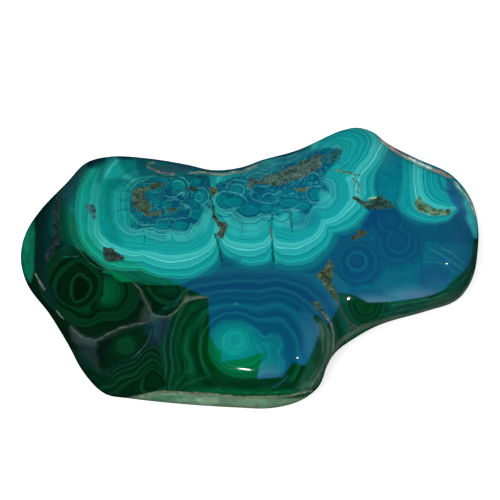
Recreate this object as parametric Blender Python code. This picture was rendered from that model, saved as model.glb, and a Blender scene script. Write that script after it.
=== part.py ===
"""Polished malachite freeform: one rounded, gently domed stone that lies on its flat underside.

Metres, +Z up.  The origin is the middle of the stone's footprint box, on the surface it rests on.
Run with: blender --background --python part.py
"""
import math

import bpy
import numpy as np

MM = 0.001

# ---- driving dimensions, in millimetres -------------------------------------------------
LENGTH = 121.2          # left tip to right tip, along X
DEPTH = 78.7            # front edge to back crown, along Y
WAIST_HEIGHT = 13.0     # height of the widest line round the stone above the surface it rests on
CROWN_RISE = 13.2       # how far the polished face stands above the waist, before its doming
KEEL_DROP = 13.7        # how far the underside would reach below the waist before it is ground flat
FACE_DOME = 3.6         # extra height of the face at its middle
DOME_REACH_X = 62.0     # half length over which the doming runs out
DOME_REACH_Y = 42.0     # half depth over which the doming runs out
UNDER_ROUNDING = 15.0   # how far in from the edge the underside stays rounded

# The outline seen from above, anticlockwise from the right tip: x, y, and how far in from the
# edge the rounding of the polished face reaches there.
OUTLINE = [
    (60.8, 12.0, 9.0),      # right tip
    (59.0, 19.0, 9.0),
    (54.2, 25.3, 9.0),
    (45.5, 29.8, 9.0),
    (38.0, 34.2, 9.0),
    (33.8, 37.9, 8.5),
    (29.2, 39.4, 8.5),      # back crown
    (24.3, 38.5, 9.0),
    (12.2, 32.4, 10.0),
    (3.0, 29.5, 10.0),
    (-2.8, 27.2, 10.0),
    (-9.5, 26.4, 9.5),      # hollow of the back edge
    (-16.0, 28.0, 9.5),
    (-27.0, 30.1, 10.0),
    (-37.0, 30.9, 11.0),
    (-44.0, 29.2, 13.0),    # back left corner
    (-49.2, 23.3, 15.0),
    (-55.9, 15.3, 16.0),
    (-59.5, 8.7, 17.0),
    (-60.4, 2.2, 17.0),     # left tip
    (-58.6, -4.5, 16.0),
    (-52.9, -12.5, 14.0),
    (-47.8, -21.1, 13.0),
    (-43.2, -29.7, 13.0),
    (-37.8, -35.3, 13.0),   # front left corner
    (-31.0, -36.6, 13.0),
    (-18.0, -38.1, 13.0),
    (-4.0, -39.1, 13.0),
    (6.0, -39.3, 13.0),     # front edge
    (13.8, -37.1, 12.0),
    (18.4, -33.3, 11.0),    # front right corner
    (20.6, -27.5, 12.0),
    (23.0, -23.5, 16.0),    # notch between the two lobes
    (28.2, -19.3, 18.0),
    (35.0, -15.4, 14.0),
    (47.0, -11.6, 11.0),
    (55.2, -8.4, 10.0),     # front corner of the right lobe
    (59.0, -3.0, 9.0),
    (60.6, 4.7, 9.0),
]

# Swells and hollows of the polished face: x, y, radius, height
SWELLS = [
    (-4.0, -22.0, 17.0, 1.6),     # swell behind the front edge
    (46.0, 8.0, 17.0, 1.0),       # swell of the right lobe
    (-30.0, 6.0, 20.0, 0.8),      # swell of the left half
    (27.0, -12.0, 11.0, -2.6),    # hollow that runs in from the notch
    (-8.0, 24.0, 14.0, -1.0),     # hollow behind, at the dip of the back edge
]

# ---- how finely the solid is faceted ----------------------------------------------------
ROUND_STEPS = 96        # points round the waist
EDGE_RINGS = 8          # rings over the rounded edge, on the face and again on the underside
EDGE_SWEEP = 74.0       # degrees of the edge's rounding that those rings cover
FACE_RINGS = 8          # rings from the rounded edge to the middle
SPLINE_STEPS = 24       # steps between two outline points when the curve is measured
EDGE_LIMIT = 0.5        # the edge rings keep outside this share of the way to the waist
TRUE_WITHIN = 1.0       # the distance in from the waist is exact up to here
SOFT_BEYOND = 4.0       # and fully smoothed from here on


def closed_curve(points, steps):
    """A smooth closed curve (Catmull-Rom, centripetal) through the given rows."""
    rows = np.asarray(points, dtype=float)
    count = len(rows)
    out = []
    for i in range(count):
        p0, p1, p2, p3 = (rows[(i + k) % count] for k in (-1, 0, 1, 2))
        t1 = math.sqrt(np.linalg.norm(p1[:2] - p0[:2]))
        t2 = t1 + math.sqrt(np.linalg.norm(p2[:2] - p1[:2]))
        t3 = t2 + math.sqrt(np.linalg.norm(p3[:2] - p2[:2]))
        for step in range(steps):
            t = t1 + (t2 - t1) * step / steps
            a1 = (p0 * (t1 - t) + p1 * t) / t1
            a2 = (p1 * (t2 - t) + p2 * (t - t1)) / (t2 - t1)
            a3 = (p2 * (t3 - t) + p3 * (t - t2)) / (t3 - t2)
            b1 = (a1 * (t2 - t) + a2 * t) / t2
            b2 = (a2 * (t3 - t) + a3 * (t - t1)) / (t3 - t1)
            out.append((b1 * (t2 - t) + b2 * (t - t1)) / (t2 - t1))
    return np.array(out)


def waist_curve():
    """The waist as a dense closed loop of x, y and face rounding, fitted to LENGTH and DEPTH."""
    curve = closed_curve(OUTLINE, SPLINE_STEPS)
    low, high = curve[:, :2].min(axis=0), curve[:, :2].max(axis=0)
    curve[:, :2] = (curve[:, :2] - (low + high) / 2) * np.array([LENGTH, DEPTH]) / (high - low)
    return curve


def evenly(curve, count):
    """The closed curve again, with its points spaced evenly along it."""
    loop = np.vstack([curve, curve[:1]])
    steps = np.linalg.norm(np.diff(loop[:, :2], axis=0), axis=1)
    run = np.concatenate([[0.0], np.cumsum(steps)])
    at = np.linspace(0.0, run[-1], count, endpoint=False)
    return np.stack([np.interp(at, run, loop[:, k]) for k in range(3)], axis=1)


def outward_reach(xy):
    """How far each waist point lies from the middle, measured square to the waist."""
    along = np.roll(xy, -1, axis=0) - np.roll(xy, 1, axis=0)
    outward = np.stack([along[:, 1], -along[:, 0]], axis=1)
    outward /= np.linalg.norm(outward, axis=1)[:, None]
    return (xy * outward).sum(axis=1)


def smooth_step(low, high, value):
    t = np.clip((value - low) / (high - low), 0.0, 1.0)
    return t * t * (3.0 - 2.0 * t)


def inward_distance(points, loop):
    """Distance in from the waist, with no crease along the middle, and the rounding there.

    Close to the waist it is the true distance.  Further in it is the mean of the whole waist's
    pull, each piece weighted by the inverse fourth power of how far off it is.
    """
    starts = loop[:, :2]
    steps = np.roll(starts, -1, axis=0) - starts
    lengths = np.linalg.norm(steps, axis=1)
    centres = starts + steps / 2
    distance = np.empty(len(points))
    width = np.empty(len(points))
    for i, point in enumerate(points):
        away = point - starts
        along = np.clip((away * steps).sum(axis=1) / lengths ** 2, 0.0, 1.0)
        true = np.linalg.norm(away - steps * along[:, None], axis=1).min()
        gap = np.maximum(np.linalg.norm(point - centres, axis=1), TRUE_WITHIN / 2)
        pull = lengths / gap ** 4
        soft = (2.0 / math.pi * pull.sum()) ** (-1.0 / 3.0)
        distance[i] = true + (soft - true) * smooth_step(TRUE_WITHIN, SOFT_BEYOND, true)
        width[i] = (pull * loop[:, 2]).sum() / pull.sum()
    return distance, width


def swelling(x, y):
    """Height of the doming, swells and hollows of the polished face."""
    height = FACE_DOME * (1.0 - (x / DOME_REACH_X) ** 2 - (y / DOME_REACH_Y) ** 2)
    for at_x, at_y, radius, rise in SWELLS:
        height = height + rise * np.exp(-((x - at_x) ** 2 + (y - at_y) ** 2) / (2 * radius ** 2))
    return height


def rounding(distance, width):
    """0 at the waist, near 1 well inside: the quick rise and slow levelling of a worn edge."""
    return np.sqrt(1.0 - np.exp(-2.0 * distance / width))


def ring_shares(reach, width):
    """How far out each ring lies, from near 1 at the waist to 0 in the middle."""
    rings = []
    for step in range(1, EDGE_RINGS + 1):
        sweep = math.radians(EDGE_SWEEP) * step / EDGE_RINGS
        rings.append(np.maximum(1.0 + width * math.log(math.cos(sweep)) / reach, EDGE_LIMIT))
    for step in range(1, FACE_RINGS):
        rings.append(rings[EDGE_RINGS - 1] * (1.0 - step / FACE_RINGS))
    return rings


def face_height(points, loop):
    """Height of the polished face over each point."""
    distance, width = inward_distance(points, loop)
    rise = CROWN_RISE + swelling(points[:, 0], points[:, 1])
    return WAIST_HEIGHT + rounding(distance, width) * rise


def underside_height(points, loop):
    """Height of the underside over each point, ground flat where it would pass below 0."""
    distance, _ = inward_distance(points, loop)
    return np.maximum(WAIST_HEIGHT - rounding(distance, UNDER_ROUNDING) * KEEL_DROP, 0.0)


def build_stone():
    """The whole stone as one closed body."""
    loop = waist_curve()
    waist = evenly(loop, ROUND_STEPS)
    xy = waist[:, :2]
    count = len(xy)
    reach = outward_reach(xy)

    def ring(share, height):
        points = xy * share[:, None]
        return np.column_stack([points, height(points, loop)])

    under = [ring(share, underside_height) for share in ring_shares(reach, UNDER_ROUNDING)]
    face = [ring(share, face_height) for share in ring_shares(reach, waist[:, 2])]
    middle = [np.column_stack([xy, np.full(count, WAIST_HEIGHT)])]
    rings = under[::-1] + middle + face
    centre = np.zeros((1, 2))
    bottom = np.column_stack([centre, underside_height(centre, loop)])
    top = np.column_stack([centre, face_height(centre, loop)])
    verts = np.vstack(rings + [bottom, top]) * MM
    bottom_index, top_index = len(verts) - 2, len(verts) - 1

    faces = []
    last = (len(rings) - 1) * count
    for i in range(count):
        j = (i + 1) % count
        faces.append((bottom_index, j, i))
        faces.append((top_index, last + i, last + j))
        for start in range(0, last, count):
            faces.append((start + i, start + j, start + count + j, start + count + i))

    mesh = bpy.data.meshes.new("stone")
    mesh.from_pydata([tuple(v) for v in verts], [], faces)
    mesh.update()
    mesh.shade_smooth()
    stone = bpy.data.objects.new("stone", mesh)
    bpy.context.scene.collection.objects.link(stone)
    return stone


def malachite_material():
    """Polished green copper carbonate."""
    material = bpy.data.materials.new("polished_malachite")
    material.use_nodes = True
    shader = material.node_tree.nodes["Principled BSDF"]
    shader.inputs["Base Color"].default_value = (0.005, 0.14, 0.13, 1.0)
    shader.inputs["Roughness"].default_value = 0.08
    shader.inputs["Metallic"].default_value = 0.0
    return material


def main():
    for thing in list(bpy.data.objects):
        bpy.data.objects.remove(thing, do_unlink=True)
    stone = build_stone()
    stone.data.materials.append(malachite_material())


main()
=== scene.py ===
"""Polished malachite freeform: its finished surface and its studio, laid out as an add-on.

Metres, +Z up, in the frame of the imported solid.  The markings are drawn on a face grid: columns
run to the right and rows to the front, 0.264 mm a step, square to a line that leans 65 degrees up
from the front edge, so that a ring stays round where the face falls away to its rims.
"""
import math

import bpy
import numpy as np
from mathutils import Matrix, Vector


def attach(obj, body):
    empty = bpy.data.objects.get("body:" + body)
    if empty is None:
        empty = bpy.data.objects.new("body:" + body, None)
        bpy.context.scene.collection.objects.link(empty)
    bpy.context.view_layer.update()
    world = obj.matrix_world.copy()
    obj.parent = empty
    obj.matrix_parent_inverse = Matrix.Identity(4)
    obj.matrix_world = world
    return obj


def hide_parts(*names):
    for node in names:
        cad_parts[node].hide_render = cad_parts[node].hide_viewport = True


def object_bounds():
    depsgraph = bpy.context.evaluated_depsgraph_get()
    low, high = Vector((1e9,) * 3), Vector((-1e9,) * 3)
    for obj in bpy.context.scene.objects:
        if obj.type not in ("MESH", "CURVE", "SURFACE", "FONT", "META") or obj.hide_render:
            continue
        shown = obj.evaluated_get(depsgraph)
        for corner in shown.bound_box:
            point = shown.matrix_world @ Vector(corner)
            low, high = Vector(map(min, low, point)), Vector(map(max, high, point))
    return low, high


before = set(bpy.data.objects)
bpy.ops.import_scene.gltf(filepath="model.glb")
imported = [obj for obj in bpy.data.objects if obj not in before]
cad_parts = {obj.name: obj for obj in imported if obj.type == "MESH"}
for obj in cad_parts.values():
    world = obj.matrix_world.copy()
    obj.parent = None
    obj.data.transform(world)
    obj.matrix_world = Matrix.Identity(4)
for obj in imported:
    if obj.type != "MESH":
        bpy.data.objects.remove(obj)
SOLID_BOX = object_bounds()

bl_info = {
    "name": "Polished malachite freeform",
    "version": (1, 0, 0),
    "blender": (4, 5, 0),
    "location": "View3D > Sidebar > Malachite",
    "description": "Builds the banded, polished surface of a malachite freeform and its studio",
    "category": "Object",
}

MM = 0.001
POLISH_IOR = 1.85

# ---- the stone's form: the driving sizes of the solid, in millimetres
WAIST_HEIGHT = 13.0
CROWN_RISE = 13.2
KEEL_DROP = 13.7
FACE_DOME = 3.6
DOME_REACH_X = 62.0
DOME_REACH_Y = 42.0
UNDER_ROUNDING = 15.0
TRUE_WITHIN = 1.0
SOFT_BEYOND = 4.0
OUTLINE = [
    (60.8, 12.0, 9.0), (59.0, 19.0, 9.0), (54.2, 25.3, 9.0), (45.5, 29.8, 9.0),
    (38.0, 34.2, 9.0), (33.8, 37.9, 8.5), (29.2, 39.4, 8.5), (24.3, 38.5, 9.0),
    (12.2, 32.4, 10.0), (3.0, 29.5, 10.0), (-2.8, 27.2, 10.0), (-9.5, 26.4, 9.5),
    (-16.0, 28.0, 9.5), (-27.0, 30.1, 10.0), (-37.0, 30.9, 11.0), (-44.0, 29.2, 13.0),
    (-49.2, 23.3, 15.0), (-55.9, 15.3, 16.0), (-59.5, 8.7, 17.0), (-60.4, 2.2, 17.0),
    (-58.6, -4.5, 16.0), (-52.9, -12.5, 14.0), (-47.8, -21.1, 13.0), (-43.2, -29.7, 13.0),
    (-37.8, -35.3, 13.0), (-31.0, -36.6, 13.0), (-18.0, -38.1, 13.0), (-4.0, -39.1, 13.0),
    (6.0, -39.3, 13.0), (13.8, -37.1, 12.0), (18.4, -33.3, 11.0), (20.6, -27.5, 12.0),
    (23.0, -23.5, 16.0), (28.2, -19.3, 18.0), (35.0, -15.4, 14.0), (47.0, -11.6, 11.0),
    (55.2, -8.4, 10.0), (59.0, -3.0, 9.0), (60.6, 4.7, 9.0),
]
SWELLS = [
    (-4.0, -22.0, 17.0, 1.6), (46.0, 8.0, 17.0, 1.0), (-30.0, 6.0, 20.0, 0.8),
    (27.0, -12.0, 11.0, -2.6), (-8.0, 24.0, 14.0, -1.0),
]
SPLINE_STEPS = 12
LENGTH = 121.2
DEPTH = 78.7

# ---- how finely the finished surface is meshed
ROUND_STEPS = 960       # points round the waist; halved inwards each time they crowd
EDGE_RINGS = 30         # rings over the rounded edge of the face
EDGE_SWEEP = 60.0       # degrees of the edge's rounding that those rings cover
FACE_PITCH = 0.37       # spacing of the rings further in
UNDER_RINGS = 12
UNDER_SWEEP = 74.0
UNDER_PITCH = 1.8
EDGE_LIMIT = 0.5
CROWDED = 0.25          # a ring is halved where its points come closer than this
CROWDED_SHARE = 0.55    # or than this share of the spacing of the rings
MOST_THINNED = 32       # the waist's points to one point of the thinnest ring
USUAL_REACH = 75        # the percentile of the reach that sets how many rings lie inside
FEWEST_RINGS = 4

# ---- the face grid
GRID_STEP = 0.264       # millimetres to a step of the grid
GRID_COLUMN = 250.08    # column and row of the middle of the waist plane
GRID_ROW = 267.25
GRID_LEAN = 65.0        # degrees above the horizon of the line the grid is square to
GRID_FAR = 800.0        # millimetres from the middle to the point the grid is drawn from


# ==== the stone's form ====
def closed_curve(points, steps):
    """A smooth closed curve (Catmull-Rom, centripetal) through the given rows."""
    rows = np.asarray(points, dtype=float)
    count = len(rows)
    out = []
    for i in range(count):
        p0, p1, p2, p3 = (rows[(i + k) % count] for k in (-1, 0, 1, 2))
        t1 = math.sqrt(np.linalg.norm(p1[:2] - p0[:2]))
        t2 = t1 + math.sqrt(np.linalg.norm(p2[:2] - p1[:2]))
        t3 = t2 + math.sqrt(np.linalg.norm(p3[:2] - p2[:2]))
        for step in range(steps):
            t = t1 + (t2 - t1) * step / steps
            a1 = (p0 * (t1 - t) + p1 * t) / t1
            a2 = (p1 * (t2 - t) + p2 * (t - t1)) / (t2 - t1)
            a3 = (p2 * (t3 - t) + p3 * (t - t2)) / (t3 - t2)
            b1 = (a1 * (t2 - t) + a2 * t) / t2
            b2 = (a2 * (t3 - t) + a3 * (t - t1)) / (t3 - t1)
            out.append((b1 * (t2 - t) + b2 * (t - t1)) / (t2 - t1))
    return np.array(out)


def waist_curve():
    """The waist as a dense closed loop of x, y and face rounding, fitted to LENGTH and DEPTH."""
    curve = closed_curve(OUTLINE, SPLINE_STEPS)
    low, high = curve[:, :2].min(axis=0), curve[:, :2].max(axis=0)
    curve[:, :2] = (curve[:, :2] - (low + high) / 2) * np.array([LENGTH, DEPTH]) / (high - low)
    return curve


def evenly(curve, count):
    """The closed curve again, with its points spaced evenly along it."""
    loop = np.vstack([curve, curve[:1]])
    steps = np.linalg.norm(np.diff(loop[:, :2], axis=0), axis=1)
    run = np.concatenate([[0.0], np.cumsum(steps)])
    at = np.linspace(0.0, run[-1], count, endpoint=False)
    return np.stack([np.interp(at, run, loop[:, k]) for k in range(3)], axis=1)


def outward_reach(xy):
    """How far each waist point lies from the middle, measured square to the waist."""
    span = 5
    along = np.roll(xy, -span, axis=0) - np.roll(xy, span, axis=0)
    outward = np.stack([along[:, 1], -along[:, 0]], axis=1)
    outward /= np.linalg.norm(outward, axis=1)[:, None]
    return (xy * outward).sum(axis=1)


def smooth_step(low, high, value):
    """0 below low, 1 above high, and a smooth rise between them."""
    t = np.clip((value - low) / (high - low), 0.0, 1.0)
    return t * t * (3.0 - 2.0 * t)


def inward_distance(points, loop):
    """Distance in from the waist, with no crease along the middle, and the rounding there."""
    starts = loop[:, :2]
    steps = np.roll(starts, -1, axis=0) - starts
    lengths = np.linalg.norm(steps, axis=1)
    centres = starts + steps / 2
    distance = np.empty(len(points))
    width = np.empty(len(points))
    block = 4000
    for first in range(0, len(points), block):
        part = points[first:first + block]
        away_x = part[:, 0, None] - starts[None, :, 0]
        away_y = part[:, 1, None] - starts[None, :, 1]
        along = np.clip((away_x * steps[:, 0] + away_y * steps[:, 1]) / lengths ** 2, 0.0, 1.0)
        true = np.sqrt(((away_x - steps[:, 0] * along) ** 2
                        + (away_y - steps[:, 1] * along) ** 2).min(axis=1))
        gap2 = ((part[:, 0, None] - centres[None, :, 0]) ** 2
                + (part[:, 1, None] - centres[None, :, 1]) ** 2)
        pull = lengths / np.maximum(gap2, (TRUE_WITHIN / 2) ** 2) ** 2
        total = pull.sum(axis=1)
        soft = (2.0 / math.pi * total) ** (-1.0 / 3.0)
        rows = slice(first, first + block)
        distance[rows] = true + (soft - true) * smooth_step(TRUE_WITHIN, SOFT_BEYOND, true)
        width[rows] = (pull * loop[:, 2]).sum(axis=1) / total
    return distance, width


def swelling(x, y):
    """Height of the doming, swells and hollows of the polished face."""
    height = FACE_DOME * (1.0 - (x / DOME_REACH_X) ** 2 - (y / DOME_REACH_Y) ** 2)
    for at_x, at_y, radius, rise in SWELLS:
        height = height + rise * np.exp(-((x - at_x) ** 2 + (y - at_y) ** 2) / (2 * radius ** 2))
    return height


def rounding(distance, width):
    """0 at the waist, near 1 well inside: the quick rise and slow levelling of a worn edge."""
    return np.sqrt(1.0 - np.exp(-2.0 * distance / width))


def face_height(points, loop):
    """Height of the polished face over each point."""
    distance, width = inward_distance(points, loop)
    rise = CROWN_RISE + swelling(points[:, 0], points[:, 1])
    return WAIST_HEIGHT + rounding(distance, width) * rise


def underside_height(points, loop):
    """Height of the underside over each point, ground flat where it would pass below 0."""
    distance, _ = inward_distance(points, loop)
    return np.maximum(WAIST_HEIGHT - rounding(distance, UNDER_ROUNDING) * KEEL_DROP, 0.0)


def ring_shares(reach, width, rings, sweep_limit, pitch):
    """How far out each ring lies, from near 1 at the waist to just short of the middle."""
    shares = []
    for step in range(1, rings + 1):
        sweep = math.radians(sweep_limit) * step / rings
        shares.append(np.maximum(1.0 + width * math.log(math.cos(sweep)) / reach, EDGE_LIMIT))
    last = shares[-1]
    inner = max(int(np.percentile(last * reach, USUAL_REACH) / pitch), FEWEST_RINGS)
    shares += [last * (1.0 - step / inner) for step in range(1, inner)]
    return shares


def laid_rings(waist, rounding_width, rings, sweep_limit, pitch, height, loop):
    """Rings of points from just inside the waist to the middle, thinned out where they crowd."""
    xy = waist[:, :2]
    shares = ring_shares(outward_reach(xy), rounding_width, rings, sweep_limit, pitch)
    stride = 1
    laid = []
    for share in shares:
        gaps = np.linalg.norm(np.diff(xy[::stride] * share[::stride, None], axis=0), axis=1)
        if stride < MOST_THINNED and gaps.mean() < max(CROWDED, CROWDED_SHARE * pitch):
            stride *= 2
        laid.append(xy[::stride] * share[::stride, None])
    flat = np.vstack(laid)
    level = height(flat, loop)
    out, at = [], 0
    for ring in laid:
        out.append(np.column_stack([ring, level[at:at + len(ring)]]))
        at += len(ring)
    return out


def stitch(first, first_count, second, second_count):
    """Faces between a ring and the next one in, which has as many points or half as many."""
    faces = []
    if first_count == second_count:
        for i in range(first_count):
            j = (i + 1) % first_count
            faces.append((first + i, first + j, second + j, second + i))
        return faces
    for i in range(second_count):
        j = (i + 1) % second_count
        a, b, c = 2 * i, 2 * i + 1, (2 * i + 2) % first_count
        faces.append((first + a, first + b, second + i))
        faces.append((first + b, second + j, second + i))
        faces.append((first + b, first + c, second + j))
    return faces


def stone_surface():
    """Vertices in millimetres and faces of the finished stone, and where its underside starts."""
    loop = waist_curve()
    waist = evenly(loop, ROUND_STEPS)
    face = laid_rings(waist, waist[:, 2], EDGE_RINGS, EDGE_SWEEP, FACE_PITCH, face_height, loop)
    under = laid_rings(waist, np.full(ROUND_STEPS, UNDER_ROUNDING), UNDER_RINGS, UNDER_SWEEP,
                       UNDER_PITCH, underside_height, loop)
    middle = np.column_stack([waist[:, :2], np.full(ROUND_STEPS, WAIST_HEIGHT)])
    centre = np.zeros((1, 2))
    verts, faces = [middle], []
    total = len(middle)
    for rings, height, up in ((face, face_height, True), (under, underside_height, False)):
        start, count = 0, len(middle)
        made = []
        for ring in rings:
            verts.append(ring)
            made += stitch(start, count, total, len(ring))
            start, count = total, len(ring)
            total += len(ring)
        verts.append(np.column_stack([centre, height(centre, loop)]))
        made += [(start + i, start + (i + 1) % count, total) for i in range(count)]
        total += 1
        faces += made if up else [tuple(reversed(f)) for f in made]
        if up:
            top_faces = len(faces)
    return np.vstack(verts), faces, top_faces


def fit_to_solid(verts):
    """The same points, drawn in by a hair so that they fill the solid's own box."""
    low, high = (np.array(corner) / MM for corner in SOLID_BOX)
    own_low, own_high = verts.min(axis=0), verts.max(axis=0)
    return low + (verts - own_low) * (high - low) / (own_high - own_low)


def grid_origin():
    """The point the face grid is drawn from, in millimetres."""
    lean = math.radians(GRID_LEAN)
    return np.array([0.0, -GRID_FAR * math.cos(lean), WAIST_HEIGHT + GRID_FAR * math.sin(lean)])


def grid_position(points):
    """Column and row of the face grid for points in millimetres."""
    lean = math.radians(GRID_LEAN)
    x, y, z = points[:, 0], points[:, 1], points[:, 2] - WAIST_HEIGHT
    up = y * math.sin(lean) + z * math.cos(lean)
    near = -y * math.cos(lean) + z * math.sin(lean)
    spread = GRID_FAR / (GRID_FAR - near) / GRID_STEP
    return np.column_stack([GRID_COLUMN + x * spread, GRID_ROW - up * spread])


# ==== the markings ====
def ring(*points):
    """A smooth closed outline on the face grid."""
    return ("ring", points)


def discs(*rows):
    """Round or oval outlines on the face grid: column, row, radius and, for an oval, its other
    radius."""
    return ("discs", rows)


def stroke(half_width, *points):
    """A smooth line of some width on the face grid."""
    return ("stroke", (half_width, *points))


def both(*shapes):
    """Several outlines taken together."""
    return ("both", shapes)


def nest(family, levels, shapes, fade=10.0, edge=0.0, over=False):
    """Outlines from the inside out and the band level each one carries.

    `fade` is how many grid steps one level takes outside the last outline, and `edge` how far
    inside the last outline the nest stops owning the face.  A nest that is `over` the others
    owns all it encloses.
    """
    return {"family": family, "levels": levels, "shapes": shapes, "fade": fade, "edge": edge,
            "over": over}


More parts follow.
